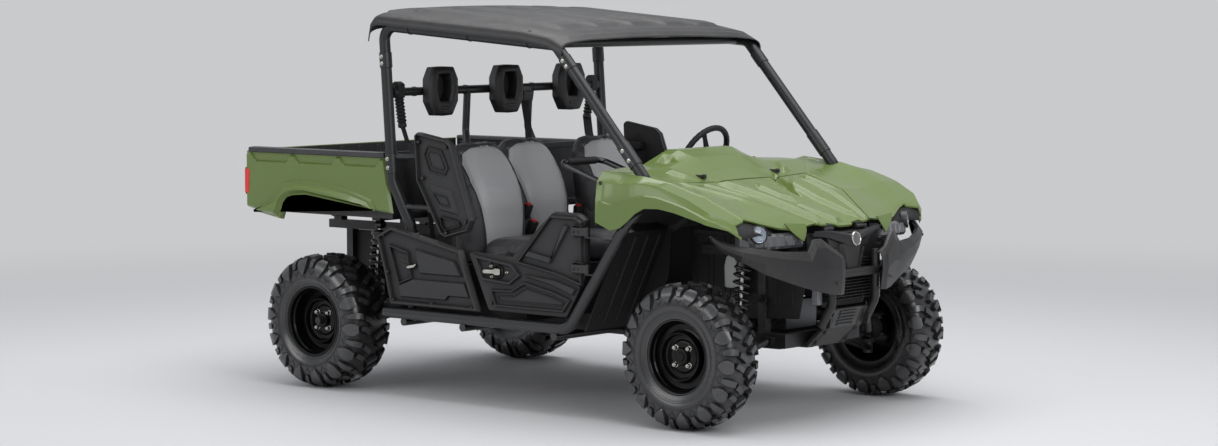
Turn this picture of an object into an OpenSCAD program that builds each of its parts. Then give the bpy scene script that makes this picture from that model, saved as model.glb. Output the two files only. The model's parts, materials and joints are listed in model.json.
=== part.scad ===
// Side by side utility vehicle with three seats, a tipping bed and a roll cage.
// Millimetres. +X points forward, +Y to the vehicle's left, +Z up; the ground is z = 0.

/* [Overall] */
// Distance between the front and rear axles
wheelbase = 2135; // [1775:5:2600]
// Width over the rear tyres
overall_w = 1610; // [1340:5:1950]
// Height of the roof above the ground
overall_h = 1750; // [1450:5:2110]
// From the front axle to the front of the bumper
front_overhang = 410; // [400:5:500]
// From the rear axle to the back of the bed
rear_overhang = 485; // [440:5:600]

/* [Wheels] */
// Outer radius of the tyres
tyre_r = 308; // [290:1:320]
// Width of a front tyre
front_tyre_w = 203; // [180:1:230]
// Width of a rear tyre
rear_tyre_w = 250; // [203:1:280]
// Radius of the wheel's lip
rim_r = 161; // [150:1:170]
// Steering angle at full lock, in degrees
steer_lock = 28; // [20:1:30]

/* [Frame and cage] */
// Height of the frame rails' underside
rail_z = 310; // [290:1:330]
// Height of a frame rail
rail_h = 60; // [50:1:70]
// Width of a frame rail
rail_w = 40; // [30:1:45]
// Diameter of the roll cage tubes
cage_tube_d = 50; // [38:1:54]
// Diameter of the side bars
side_bar_d = 50; // [38:1:54]
// Half width of the cage at the front pillars
cage_front_y = 675; // [560:1:840]

/* [Panels] */
// Thickness of the moulded body panels
panel_t = 4; // [3:0.5:6]
// Thickness of a door
door_t = 42; // [30:1:50]
// Gap around the doors, the hood and the bed
panel_gap = 8; // [6:1:12]

/* [Bed] */
// Height of the bed floor
bed_floor_z = 800; // [790:1:830]
// Height of the bed's top edge
bed_top_z = 1088; // [1000:1:1150]
// Inside length of the bed
bed_len = 890; // [800:5:893]

/* [Hitch] */
// Radius of the hitch pin's hole
hitch_pin_r = 8.2; // [6:0.1:10]

/* [Hidden] */
$fn = 48;

// Stations: the bumper and the bed end at the same distance from the origin
front_axle_x = (wheelbase + rear_overhang - front_overhang) / 2;
rear_axle_x = front_axle_x - wheelbase;
front_x = front_axle_x + front_overhang;
rear_x = rear_axle_x - rear_overhang;
axle_z = tyre_r;
half_w = overall_w / 2;
rear_wheel_y = half_w - rear_tyre_w / 2;
front_wheel_y = half_w - 20 - front_tyre_w / 2;
kingpin_y = front_wheel_y - 83;

seat_gap = 0.3;      // between a piece and what it rests on
run_gap = 0.1;       // round a pin that turns

// Frame
rail_y = 250;
rail_in = rail_y - rail_w / 2;
rail_out = rail_y + rail_w / 2;
rail_top = rail_z + rail_h;
upper_rail_z = 690;
upper_rail_top = upper_rail_z + rail_w;
tower_z = 755;       // underside of the shock towers
tower_y = 450;
shock_dx = 85;       // the shocks stand ahead of the drive shafts
upper_arm_dx = 60;   // half the spread of an upper wishbone's pivots

// Side of the body
body_y = half_w - 55;
bar_y = body_y - 10;
bar_r = side_bar_d / 2;
bar_z = 378;
outrigger_r = 18;
outrigger_z = rail_z + 30;

// Cage
cage_r = cage_tube_d / 2;
cage_rear_y = bar_y - 5;
foot_r = 32;
foot_t = 6;
rear_foot_x = rx(540);
rear_foot_y = body_y - 65;
rear_foot_z = 745;
front_foot_x = fx(-243);
front_foot_z = 1003;
roof_rise_z = overall_h - 84;    // cage rail at its rear corner
roof_rear_x = rx(428);
roof_front_x = fx(-737);
roof_fall = 80;                  // from the rear corner to the front one

// Seats and cab
floor_t = 8;
floor_top = rail_top + floor_t;
deck_z = 608;                    // top of the seat base
cushion_top = 731;
cab_y = body_y - 70;

// Doors
hinge_x = fx(-499);
hinge_y = body_y + 2;
hinge_r = 11;
hinge_pin_r = 6;
hinge_zs = [643, 801];
door_bottom = 424;

// Hood
hood_rear_x = fx(-220);
hood_front_x = fx(295);
hood_hinge_z = 812;

// Steering
wheel_hub = [fx(-780), 400, 1062];
column_lean = 28;                // of the column above the horizontal
column_r = 14;
steer_arm = 95;

// Bed
bed_y = body_y - 5;
bed_front_x = rear_x + bed_len + 22;
bed_hinge_x = rear_axle_x - 350;
bed_hinge_z = 755;
bed_pin_r = 10;
bed_sheet = 6;       // thickness of the bed's floor
gate_t = 22;

function fx(d) = front_axle_x + d;
function rx(d) = rear_axle_x + d;
function unit(v) = v / norm(v);
// Height of the cage's roof rail at x
function rail_line_z(x) = roof_rise_z - roof_fall * (x - roof_rear_x) / (roof_front_x - roof_rear_x);
// Half width of the cage's roof rail at x
function rail_line_y(x) = cage_rear_y
    + (cage_front_y - cage_rear_y) * (x - roof_rear_x) / (roof_front_x - roof_rear_x);

// ---------- shared shapes ----------

// A copy on each side of the vehicle
module both() {
    children();
    mirror([0, 1, 0]) children();
}

// Box between two corners
module box(low, high) {
    translate(low) cube(high - low);
}

// Round bar between two points
module rod(a, b, r) {
    d = b - a;
    translate(a) rotate([0, acos(d.z / norm(d)), atan2(d.y, d.x)]) cylinder(h = norm(d), r = r);
}

// Angle of the bend at point i of a path
function turn(path, i) = acos(unit(path[i] - path[i - 1]) * unit(path[i + 1] - path[i]));
// Length that the bend at point i takes from each side
function trim(path, i, bend) = i == 0 || i == len(path) - 1 ? 0 : bend * tan(turn(path, i) / 2);

// Points and directions round the bend at point i of a path
function bend_spine(path, i, bend, steps) = let (
    u = unit(path[i] - path[i - 1]),
    e = cross(u, unit(cross(u, path[i + 1] - path[i]))),
    c = path[i] - u * trim(path, i, bend) - e * bend)
    [for (k = [0 : steps]) let (t = turn(path, i) * k / steps)
        [c + bend * (e * cos(t) + u * sin(t)), u * cos(t) - e * sin(t)]];

// Round tube along a path, bent to a radius at each corner; its rings are set out from ref
module tube(path, bend, r, ref = [0, 1, 0]) {
    sides = 16;
    last = len(path) - 1;
    spine = concat([[path[0], unit(path[1] - path[0])]],
        [for (i = [1 : 1 : last - 1]) each bend_spine(path, i, bend, 5)],
        [[path[last], unit(path[last] - path[last - 1])]]);
    rings = [for (s = spine) let (a = unit(cross(ref, s[1])), b = cross(s[1], a))
        each [for (k = [0 : sides - 1]) s[0] + r * (a * cos(360 * k / sides) + b * sin(360 * k / sides))]];
    n = len(spine);
    walls = [for (j = [0 : n - 2]) for (k = [0 : sides - 1])
        let (p = j * sides + k, q = j * sides + (k + 1) % sides)
        each [[p, p + sides, q], [q, p + sides, q + sides]]];
    polyhedron(points = rings, convexity = 8, faces = concat(walls,
        [[for (k = [0 : sides - 1]) k]], [[for (k = [sides - 1 : -1 : 0]) (n - 1) * sides + k]]));
}

// Plate with an outline in x and z, between two values of y
module side_plate(outline, y0, y1) {
    translate([0, y1, 0]) rotate([90, 0, 0]) linear_extrude(y1 - y0) polygon(outline);
}

// Cylinder along y between two values of y
module cross_pin(x, z, y0, y1, r) {
    translate([x, y0, z]) rotate([-90, 0, 0]) cylinder(h = y1 - y0, r = r);
}

// Unit normal of a grid of points at row i and column j
function grid_normal(g, i, j) = unit(cross(
    g[min(i + 1, len(g) - 1)][j] - g[max(i - 1, 0)][j],
    g[i][min(j + 1, len(g[0]) - 1)] - g[i][max(j - 1, 0)]));

// Shell of thickness t under a grid of points
module grid_shell(g, t) {
    n = len(g);
    m = len(g[0]);
    top = [for (row = g) each row];
    low = [for (i = [0 : n - 1]) for (j = [0 : m - 1]) g[i][j] - t * grid_normal(g, i, j)];
    k = n * m;
    skin = [for (i = [0 : n - 2]) for (j = [0 : m - 2]) let (a = i * m + j)
        each [[a, a + 1, a + m], [a + 1, a + m + 1, a + m]]];
    lining = [for (f = skin) [f[2] + k, f[1] + k, f[0] + k]];
    rim = concat(
        [for (j = [0 : m - 1]) j], [for (i = [1 : n - 1]) i * m + m - 1],
        [for (j = [m - 2 : -1 : 0]) (n - 1) * m + j], [for (i = [n - 2 : -1 : 1]) i * m]);
    edge = [for (q = [0 : len(rim) - 1]) let (a = rim[q], b = rim[(q + 1) % len(rim)])
        each [[b, a, a + k], [b, a + k, b + k]]];
    polyhedron(points = concat(top, low), faces = concat(skin, lining, edge), convexity = 6);
}

// ---------- frame ----------

module main_frame() {
    color("#2b2c2e") difference() {
        union() {
            both() box([rx(-290), rail_in, rail_z], [fx(185), rail_out, rail_top]);
            for (x = [rx(-290), rx(-20), rx(300), rx(900), fx(-480), fx(-20), fx(145)])
                box([x, -rail_in, rail_z], [x + rail_w, rail_in, rail_top]);
            rack_housing();
        }
        cross_pin(rack_x, rack_z, -rail_in, rail_in, rack_r + run_gap);
    }
}

// Post from a lower rail to an upper one
module post(x) {
    both() box([x, rail_in, rail_top + seat_gap], [x + rail_w, rail_out, upper_rail_z]);
}

module rear_subframe() {
    color("#2b2c2e") difference() {
        union() {
            both() box([rx(-410), rail_in, upper_rail_z], [rx(440), rail_out, upper_rail_top]);
            for (x = [rx(-290), rx(-upper_arm_dx - 20), rx(upper_arm_dx - 20), rx(400)]) post(x);
            both() box([rx(360), rail_in, upper_rail_top], [rx(400), rail_out, bed_floor_z - bed_sheet - seat_gap]);
            box([rx(360), -rail_in, upper_rail_z], [rx(360) + rail_w, rail_in, upper_rail_top]);
            shock_tower(rx(shock_dx));
            both() bed_lug();
        }
        both() cross_pin(bed_hinge_x, bed_hinge_z, rail_in - 1, rail_out + 1, bed_pin_r + run_gap);
    }
}

module front_subframe() {
    color("#2b2c2e") {
        both() box([fx(-260), rail_in, upper_rail_z], [fx(325), rail_out, upper_rail_top]);
        for (x = [fx(-upper_arm_dx - 20), fx(upper_arm_dx - 20)]) post(x);
        box([fx(240), -rail_in, upper_rail_z], [fx(280), rail_in, upper_rail_top]);
        shock_tower(fx(shock_dx));
    }
}

module shock_tower(x) {
    box([x - 25, -tower_y, tower_z], [x + 25, tower_y, tower_z + 20]);
    both() box([x - 20, rail_in, upper_rail_top], [x + 20, rail_out, tower_z]);
}

module rack_housing() {
    box([rack_x - 26, -130, rail_z + 20], [rack_x + 26, 130, rack_z + 26]);
    box([rack_x - 20, -rail_in, rail_z], [rack_x + 20, rail_in, rail_z + 22]);
}

module bed_lug() {
    box([bed_hinge_x - 25, rail_in, upper_rail_top], [bed_hinge_x + 25, rail_out, bed_hinge_z + 20]);
}

// Square tube for a hitch bar, with a hole for its pin
module hitch_receiver() {
    color("#2b2c2e") difference() {
        box([rear_x + 75, -32, 312], [rx(-290) - seat_gap, 32, 376]);
        box([rear_x + 60, -26, 318], [rx(-280), 26, 370]);
        cross_pin(rear_x + 105, 344, -60, 60, hitch_pin_r);
    }
}

module side_bars() {
    color("#1c1d1e") both() {
        tube([[rx(430), bar_y, bar_z], [fx(-610), bar_y, bar_z], [fx(-305), bar_y - 5, 832],
            [front_foot_x, cage_front_y, front_foot_z - foot_t - 60],
            [front_foot_x, cage_front_y, front_foot_z - foot_t / 2]], 90, bar_r);
        translate([front_foot_x, cage_front_y, front_foot_z - foot_t]) cylinder(h = foot_t, r = foot_r);
        for (x = [rear_foot_x, rx(900), fx(-700)])
            rod([x, rail_out, outrigger_z], [x, bar_y, outrigger_z], outrigger_r);
        rod([rear_foot_x, rear_foot_y, outrigger_z], [rear_foot_x, rear_foot_y, rear_foot_z - foot_t], 20);
        translate([rear_foot_x, rear_foot_y, rear_foot_z - foot_t]) cylinder(h = foot_t, r = foot_r);
        box([rear_foot_x - 14, rear_foot_y, 500], [rear_foot_x + 14, body_y - 32 - seat_gap, 540]);
        for (z = hinge_zs) hinge_bracket(z);
    }
}

// Pin and base of a door hinge, carried by the rising side bar
module hinge_bracket(z) {
    bar_x = fx(-610) + (z - bar_z) * 305 / 454;
    translate([hinge_x, hinge_y, z - 26]) cylinder(h = 5, r = hinge_r);
    translate([hinge_x, hinge_y, z - 26]) cylinder(h = 46, r = hinge_pin_r);
    box([hinge_x, hinge_y - 11, z - 26], [bar_x - 10, hinge_y + 8, z - 21]);
}

module floor_pan() {
    color("#1e1f20") {
        difference() {
            box([rx(480), -cab_y + 20, rail_top], [fx(-545), cab_y - 20, floor_top]);
            box([rx(479), -rail_out, rail_top - 1], [rx(820), rail_out, floor_top + 1]);
            both() translate([rear_foot_x, rear_foot_y, 0]) cylinder(h = overall_h, r = foot_r);
        }
        toe_board(-cab_y + 20, cab_y - 20);
    }
}

// Slanted wall between the cab and the wheel wells
module toe_board(y0, y1) {
    side_plate([[toe_x(rail_top), rail_top], [toe_x(rail_top) + 8, rail_top], [toe_x(800) + 8, 800],
        [toe_x(800), 800]], y0, y1);
}
function toe_x(z) = fx(-553) + (z - rail_top) * 205 / 430;

skid_half_w = 138;   // of its rising front

module skid_plate() {
    color("#3a3c3e") {
        box([rx(150), -rail_out + 10, rail_z - 6], [fx(150), rail_out - 10, rail_z]);
        side_plate([[fx(150), rail_z - 6], [fx(200), rail_z - 6], [fx(290), 390], [fx(322), 470],
            [fx(315), 473], [fx(284), 394], [fx(196), rail_z], [fx(150), rail_z]], -skid_half_w, skid_half_w);
    }
}

module engine_block() {
    color("#4a4c4e") box([rx(300), -200, rail_top], [rx(800), 200, 585]);
}

module gearcases() {
    color("#55575a") for (x = [rx(0), fx(0)]) {
        box([x - 70, -110, rail_top], [x + 70, 110, 490]);
        cross_pin(x, 430, -125, 125, 45);
    }
}

// ---------- suspension ----------

ball_low = 240;      // top of the lower ball joint
ball_high = 390;     // underside of the upper one
rear_carrier_y = rear_wheel_y - 90;

// Wishbone from two inner pivots, dx each side of x, to a ball joint
module wishbone(x, dx, pivot_z, ball_y, ball_z) {
    for (d = [-dx, dx]) {
        box([x + d - 20, rail_out, pivot_z - 15], [x + d + 20, rail_out + 30, pivot_z + 15]);
        rod([x + d, rail_out + 20, pivot_z], [x + d * 0.06, ball_y, ball_z], 13);
    }
}

module wishbone_pair(x, ball_y) {
    wishbone(x, 110, rail_z + 30, ball_y, ball_low - 24);
    translate([x, ball_y, ball_low - 42]) cylinder(h = 42 - seat_gap, r = 22);
    box([x - 45, ball_y - 138, 262], [x + shock_dx + 22, ball_y - 98, 278]);
    wishbone(x, upper_arm_dx, 520, ball_y, ball_high + 24);
    translate([x, ball_y, ball_high + seat_gap]) cylinder(h = 42, r = 22);
}

module front_suspension_arms() {
    color("#232426") both() wishbone_pair(fx(0), kingpin_y);
}

module rear_suspension_arms() {
    color("#232426") both() wishbone_pair(rx(0), rear_carrier_y);
}

// Coil-over shock between a tower and a lower wishbone
module shock(x, low_y) {
    eye_r = 18;
    top = [x, tower_y - 30, tower_z - eye_r - seat_gap];
    low = [x, low_y, 278 + eye_r + seat_gap];
    u = unit(top - low);
    translate(low - [20, 0, 0]) rotate([0, 90, 0]) cylinder(h = 40, r = eye_r);
    translate(top - [20, 0, 0]) rotate([0, 90, 0]) cylinder(h = 40, r = eye_r);
    rod(low, low + u * 190, 24);
    rod(low + u * 190, top, 12);
    for (i = [0 : 6]) rod(low + u * (150 + i * 38), low + u * (162 + i * 38), 40);
}

module shock_absorbers() {
    color("#151515") both() {
        shock(fx(shock_dx), kingpin_y - 118);
        shock(rx(shock_dx), rear_carrier_y - 118);
    }
}

module drive_shafts() {
    color("#303133") both() {
        half_shaft(fx(0), kingpin_y - 60);
        half_shaft(rx(0), rear_carrier_y - 40);
        cross_pin(rx(0), axle_z + 10, rear_carrier_y - 45, rear_carrier_y - 26 - seat_gap, 16);
    }
}

// Shaft from a gearcase to end_y, with a boot at each end
module half_shaft(x, end_y) {
    a = [x, 142, 430];
    b = [x, end_y, axle_z + 10];
    cross_pin(x, 430, 125 + seat_gap, 150, 28);
    rod(a, b, 13);
    rod(a, a + (b - a) * 0.22, 32);
    rod(b - (b - a) * 0.2, b, 24);
}

module rear_hub_carriers() {
    color("#3a3c3e") both() {
        translate([rx(0), rear_carrier_y, ball_low]) cylinder(h = ball_high - ball_low, r = 20);
        cross_pin(rx(0), axle_z, rear_carrier_y - 26, rear_carrier_y + 40, 48);
        cross_pin(rx(0), axle_z, rear_carrier_y, rear_wheel_y + 70, 16);
    }
}

// ---------- cage and roof ----------

module cage_side(s) {
    rear_foot = [rear_foot_x, s * rear_foot_y, rear_foot_z];
    front_foot = [front_foot_x, s * cage_front_y, front_foot_z];
    color("#313335") {
        tube([rear_foot + [0, 0, foot_t / 2], rear_foot + [0, 0, 25], [rx(476), s * cage_rear_y, 965],
            [roof_rear_x, s * cage_rear_y, roof_rise_z],
            [roof_front_x, s * cage_front_y, roof_rise_z - roof_fall],
            front_foot + [0, 0, 25], front_foot + [0, 0, foot_t / 2]], 60, cage_r);
        translate(rear_foot) cylinder(h = foot_t, r = foot_r);
        translate(front_foot) cylinder(h = foot_t, r = foot_r);
        for (z = [855, 1080]) guard_arm(s, z);
    }
}

// Arm from the rear pillar to a shoulder guard
module guard_arm(s, z) {
    pillar = z > 965 ? [rx(468), s * cage_rear_y, z] : [rx(508), s * (cage_rear_y - 25), z];
    tube([pillar, [rx(560), s * (guard_y - 18), z], [rx(700), s * (guard_y - 18), z]], 30, 12, [0, 0, 1]);
    box([rx(670), min(s * (guard_y - 30), s * (guard_y - seat_gap)), z - 18],
        [rx(740), max(s * (guard_y - 30), s * (guard_y - seat_gap)), z + 18]);
}
guard_y = bar_y - 26;

module cage_right() {
    cage_side(-1);
}

module cage_left() {
    cage_side(1);
}

module cage_cross_bars() {
    bar_r2 = 19;
    head_x = rx(440);
    head_z = 1367;
    color("#313335") {
        for (x = [roof_rear_x + 110, roof_front_x - 60]) {
            y = rail_line_y(x) - cage_r - 1;
            cross_pin(x, rail_line_z(x), -y, y, bar_r2);
        }
        cross_pin(rx(452), head_z, -(cage_rear_y - cage_r) + 0.5, cage_rear_y - cage_r - 0.5, bar_r2);
        both() tube([[rx(452), 215, head_z], [rx(440), 215, 1180], [rx(500), 260, 985],
            [rx(520), 260, floor_top + 440]], 60, bar_r2 - 2);
        cross_pin(rx(520), floor_top + 440, -(rear_foot_y - 18.7), rear_foot_y - 18.7, bar_r2);
    }
}

module roof() {
    // Half of the roof's section: share of the half width, and height over the rail
    half = [[1.0, 2], [0.995, 30], [0.97, 48], [0.9, 60], [0.6, 72], [0, 80]];
    section = concat([for (p = half) p], [for (i = [len(half) - 2 : -1 : 0]) [-half[i][0], half[i][1]]]);
    // Along the roof: place, and drop below the rail line
    stations = [[roof_rear_x - 62, 78], [roof_rear_x - 52, 30], [roof_rear_x - 10, 0],
        [roof_front_x - 160, 0], [roof_front_x - 20, 14], [roof_front_x + 55, 44]];
    color("#232425") {
        grid_shell([for (s = stations)
            [for (p = section) [s[0], p[0] * (rail_line_y(s[0]) + cage_r + 9), rail_line_z(s[0]) - s[1] + p[1]]]],
            5);
        both() for (x = [roof_rear_x + 160, roof_rear_x + 500, roof_front_x - 140]) roof_pad(x);
    }
}

// Pad between the roof and the cage rail
module roof_pad(x) {
    low = rail_line_z(x - 12) + cage_r + 0.4;
    translate([x, rail_line_y(x), low]) cylinder(h = 24, r = 12);
}

module headrests() {
    color("#232425") for (y = [-445, 0, 445]) {
        x = rx(452) + 19 + seat_gap;
        translate([x, y, 1366]) rotate([90, 0, 90]) linear_extrude(80) difference() {
            polygon([[-70, 113], [70, 113], [98, 60], [98, -50], [60, -113], [-60, -113], [-98, -50], [-98, 60]]);
            polygon([[-52, 58], [52, 58], [40, 16], [-40, 16]]);
        }
    }
}

// ---------- cab ----------

module seat_base() {
    wall = 6;
    color("#222325") difference() {
        side_plate([[rx(610), floor_top], [rx(1185), floor_top], [rx(1215), deck_z], [rx(610), deck_z]],
            -cab_y + 45, cab_y - 45);
        side_plate([[rx(600), floor_top - 1], [rx(1178), floor_top - 1], [rx(1205), deck_z - wall],
            [rx(600), deck_z - wall]], -cab_y + 51, cab_y - 51);
    }
}

seat_ys = [-420, 0, 420];
seat_half = [206, 192, 206];
// How far the middle seat's back stands behind the others
middle_set_back = 100;

module seat_cushions() {
    color("#5a5b5d") for (i = [0 : 2]) {
        back = i == 1 ? middle_set_back : 0;
        side_plate([[rx(880) - back, deck_z + seat_gap], [rx(1200), deck_z + seat_gap],
            [rx(1225), cushion_top - 45], [rx(1205), cushion_top - 8], [rx(1160), cushion_top],
            [rx(880) - back, cushion_top - 10]], seat_ys[i] - seat_half[i], seat_ys[i] + seat_half[i]);
    }
}

module seat_backs() {
    color("#515254") for (i = [0 : 2]) {
        b = i == 1 ? middle_set_back : 0;
        side_plate([[rx(690) - b, deck_z + seat_gap], [rx(872) - b, deck_z + seat_gap],
            [rx(872) - b, cushion_top + 20], [rx(860) - b, 900], [rx(715) - b, 1150], [rx(640) - b, 1140],
            [rx(660) - b, 900]], seat_ys[i] - seat_half[i] + 4, seat_ys[i] + seat_half[i] - 4);
    }
}

module shoulder_guards() {
    outline = [[rx(615), 1180], [rx(632), 1194], [rx(808), 1165], [rx(839), 1142], [rx(961), 814],
        [rx(935), 765], [rx(803), 731], [rx(770), 745], [rx(627), 977]];
    color("#1f2021") both() side_plate(outline, guard_y, guard_y + 32);
}

module side_panels() {
    outline = [[rx(890), 683], [rx(470), 768], [rx(375), 723], [rx(425), 560], [rx(462), 414], [rx(1000), 414]];
    intake = [[rx(480), 660], [rx(560), 640], [rx(575), 545], [rx(525), 530]];
    y1 = body_y - 2;
    color("#1e1f21") both() difference() {
        side_plate(outline, y1 - 30, y1);
        side_plate(intake, y1 - 20, y1 + 1);
    }
}

module door(s) {
    outline = [[rx(1055), door_bottom], [fx(-625), door_bottom], [fx(-578), 500], [fx(-519), 600],
        [fx(-519), 850], [fx(-565), 874], [fx(-706), 876], [fx(-949), 665], [rx(938), 677]];
    y1 = s > 0 ? body_y : -body_y + door_t;
    color("#1e1f21") {
        side_plate(outline, y1 - door_t, y1);
        for (z = hinge_zs) difference() {
            union() {
                translate([hinge_x, s * hinge_y, z - 21 + seat_gap]) cylinder(h = 38, r = hinge_r);
                box([fx(-540), min(s * (body_y - 14), s * (hinge_y + 6)), z - 21 + seat_gap],
                    [hinge_x, max(s * (body_y - 14), s * (hinge_y + 6)), z + 17 + seat_gap]);
            }
            translate([hinge_x, s * hinge_y, z - 40]) cylinder(h = 80, r = hinge_pin_r + run_gap);
        }
    }
}

module door_right() {
    door(-1);
}

module door_left() {
    door(1);
}

module dashboard() {
    color("#232425") difference() {
        union() {
            side_plate([[fx(-500), 1049.6], [fx(-560), 1010], [fx(-545), 930], [fx(-470), 850],
                [toe_x(800), 800 + seat_gap], [toe_x(800) + 8, 800 + seat_gap], [fx(-455), 862], [fx(-528), 935],
                [fx(-542), 1005], [fx(-498), 1040]], -cab_y + 60, cab_y - 60);
            grab_bar();
        }
        translate(wheel_hub) rotate([0, 90 + column_lean, 0]) cylinder(h = 500, r = column_r + 2);
    }
}

// Passenger's grab bar on the dashboard
module grab_bar() {
    tube([[fx(-540), -480, 975], [fx(-640), -480, 1010], [fx(-640), -180, 1010], [fx(-540), -180, 975]],
        30, 14, [0, 0, 1]);
}

module steering_wheel() {
    rim_path_r = 148;
    color("#1a1a1b") translate(wheel_hub) rotate([0, 90 + column_lean, 0]) {
        rotate_extrude() translate([rim_path_r, 0]) circle(14);
        translate([0, 0, 12]) cylinder(h = 26, r = 42);
        for (a = [90, 210, 330]) rotate([0, 0, a]) rod([30, 0, 22], [rim_path_r - 4, 0, 0], 9);
        translate([0, 0, 38]) cylinder(h = 400, r = column_r);
    }
}

// ---------- body panels ----------

// Half width of the seam between the middle panels and the fenders
function seam_y(x) = lookup(x, [[fx(-505), cab_y - 40], [fx(-385), cab_y - 40], [hood_rear_x, 430],
    [fx(45), 340], [hood_front_x, 192]]);
function seam_z(x) = lookup(x, [[fx(-505), 1054], [fx(-385), 1050], [hood_rear_x, 1003],
    [fx(45), 945], [hood_front_x, 838]]);
function centre_z(x) = lookup(x, [[fx(-505), 1121], [fx(-455), 1118], [fx(-385), 1080], [fx(-300), 1020],
    [hood_rear_x, 985], [fx(-105), 962], [fx(45), 918], [fx(195), 868], [hood_front_x, 826]]);
// Height of the cowl and hood at x and at a share f of the seam's half width
function middle_z(x, f) = centre_z(x) + (seam_z(x) - centre_z(x)) * pow(abs(f), x < hood_rear_x ? 0.7 : 1.5);

function middle_grid(xs, gap) = [for (x = xs) [for (f = [-1 : 0.2 : 1.01])
    [x, f * (seam_y(x) - gap), middle_z(x, f)]]];

module cowl() {
    xs = [fx(-505), fx(-455), fx(-420), fx(-385), fx(-340), fx(-300), fx(-260), hood_rear_x - panel_gap];
    color("#6f7f45") grid_shell(middle_grid(xs, 0.6), panel_t);
}

module hood() {
    xs = [hood_rear_x, fx(-160), fx(-105), fx(-30), fx(45), fx(120), fx(195), fx(250), hood_front_x];
    color("#6f7f45") {
        grid_shell(middle_grid(xs, panel_gap / 2 + 1), panel_t);
        for (y = [-110, 110]) {
            cross_pin(hood_front_x, hood_hinge_z, y - 25, y + 25, 9);
            box([hood_front_x - 9, y - 25, hood_hinge_z], [hood_front_x, y + 25, hood_hinge_z + 14]);
        }
    }
}

module front_fenders() {
    xs = [fx(-438), fx(-385), fx(-352), fx(-305), fx(-259), hood_rear_x, fx(-167), fx(-105), fx(-30), fx(45),
        fx(122), fx(175), fx(215), fx(280)];
    side_y = body_y + 22;
    color("#6f7f45") both() difference() {
        grid_shell([for (x = xs) let (
            inner = [seam_y(x), seam_z(x)],
            crest = [lookup(x, [[fx(-438), side_y - 60], [fx(-225), side_y - 75], [fx(-5), side_y - 115],
                [fx(195), side_y - 180], [fx(280), side_y - 220]]),
                lookup(x, [[fx(-438), 1061], [fx(-225), 1042], [fx(-105), 1020], [fx(45), 968],
                [fx(195), 884], [fx(280), 806]])],
            lip = [lookup(x, [[fx(-438), side_y], [fx(-255), side_y + 10], [fx(0), side_y + 10],
                [fx(145), side_y - 5], [fx(215), side_y - 70], [fx(280), side_y - 170]]),
                lookup(x, [[fx(-438), 846], [fx(-352), 815], [fx(-259), 853], [fx(-167), 918], [fx(-5), 905],
                [fx(122), 870], [fx(215), 836], [fx(280), 762]])],
            out = [lip.x - 16, crest.y - (crest.y - lip.y) * 0.18])
            [[x, lip.x, lip.y], [x, lip.x - 3, mix(lip.y, crest.y, 0.5)], [x, out.x, out.y],
                [x, crest.x, crest.y], [x, mix(inner.x, crest.x, 0.5), mix(inner.y, crest.y, 0.5)],
                [x, inner.x, inner.y]]], -panel_t);
        rod([front_foot_x, cage_front_y, front_foot_z],
            [roof_front_x, cage_front_y, roof_rise_z - roof_fall], cage_r + 4);
        translate([front_foot_x, cage_front_y, front_foot_z - foot_t]) cylinder(h = 90, r = cage_r + 5);
    }
}
function mix(a, b, t) = a + (b - a) * t;

module inner_fenders() {
    color("#161718") both() {
        toe_board(cab_y - 20 + seat_gap, bar_y - bar_r - 6);
        side_plate([[toe_x(382) + 8 + seat_gap, 382], [fx(-440), 382], [fx(-336), 600], [fx(-320), 798],
            [toe_x(798) + 8 + seat_gap, 798]], rail_out + 130, rail_out + 136);
    }
}

module nose_grille() {
    color("#1b1c1d") {
        translate([hood_front_x + 9, 0, 0]) rotate([90, 0, 90]) linear_extrude(28)
            polygon([[-185, 800], [185, 800], [150, 735], [100, 735], [70, 620], [-70, 620], [-100, 735],
                [-150, 735]]);
        for (y = [-155.3, 135.3]) {
            cross_pin(hood_front_x, hood_hinge_z, y, y + 20, 9);
            box([hood_front_x - 6, y, 794], [hood_front_x + 12, y + 20, hood_hinge_z - 2]);
        }
        box([fx(280) + seat_gap, -60, 700], [hood_front_x + 12, 60, 724]);
    }
}

module headlights() {
    color("#8a8d90") both() {
        translate([0, 0, 748]) linear_extrude(42)
            polygon([[fx(160), 560], [fx(225), 570], [fx(262), 510], [fx(288), 276], [fx(210), 276]]);
        box([fx(215), rail_out + seat_gap, 712], [fx(255), rail_out + 26, 752]);
    }
}

module front_bumper() {
    stations = [
        [[fx(120), 735, 815], [fx(122), 738, 807], [fx(120), 735, 800]],
        [[fx(235), 650, 770], [fx(248), 655, 742], [fx(235), 645, 715]],
        [[fx(318), 470, 742], [fx(334), 472, 705], [fx(318), 466, 655]],
        [[fx(350), 330, 735], [fx(370), 332, 690], [fx(352), 326, 612]],
        [[fx(352), 288, 768], [fx(386), 262, 700], [fx(370), 262, 585]],
        [[fx(396), 169, 712], [front_x, 165, 640], [fx(398), 160, 552]],
        [[fx(392), 134, 700], [fx(402), 134, 640], [fx(394), 134, 544]]];
    color("#3c3e41") both() {
        grid_shell(stations, 14);
        box([fx(325) + seat_gap, 236, 700], [fx(372), 264, 720]);
    }
}

module brush_guard() {
    r = 19;
    leg_y = skid_half_w + r + 0.5;
    color("#3c3e41") {
        tube([[fx(335), -240, 632], [fx(352), -150, 625], [fx(352), 150, 625], [fx(335), 240, 632]], 60, r, [0, 0, 1]);
        both() tube([[fx(345), leg_y, 715], [fx(345), leg_y, 500], [fx(290), leg_y, 400]], 60, r);
    }
}

// ---------- steering ----------

arm_x = fx(0) - steer_arm;
arm_y = kingpin_y - 10;
arm_z = 262;
rack_x = arm_x - 30;
rack_z = arm_z + 154;
rack_r = 18;

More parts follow.
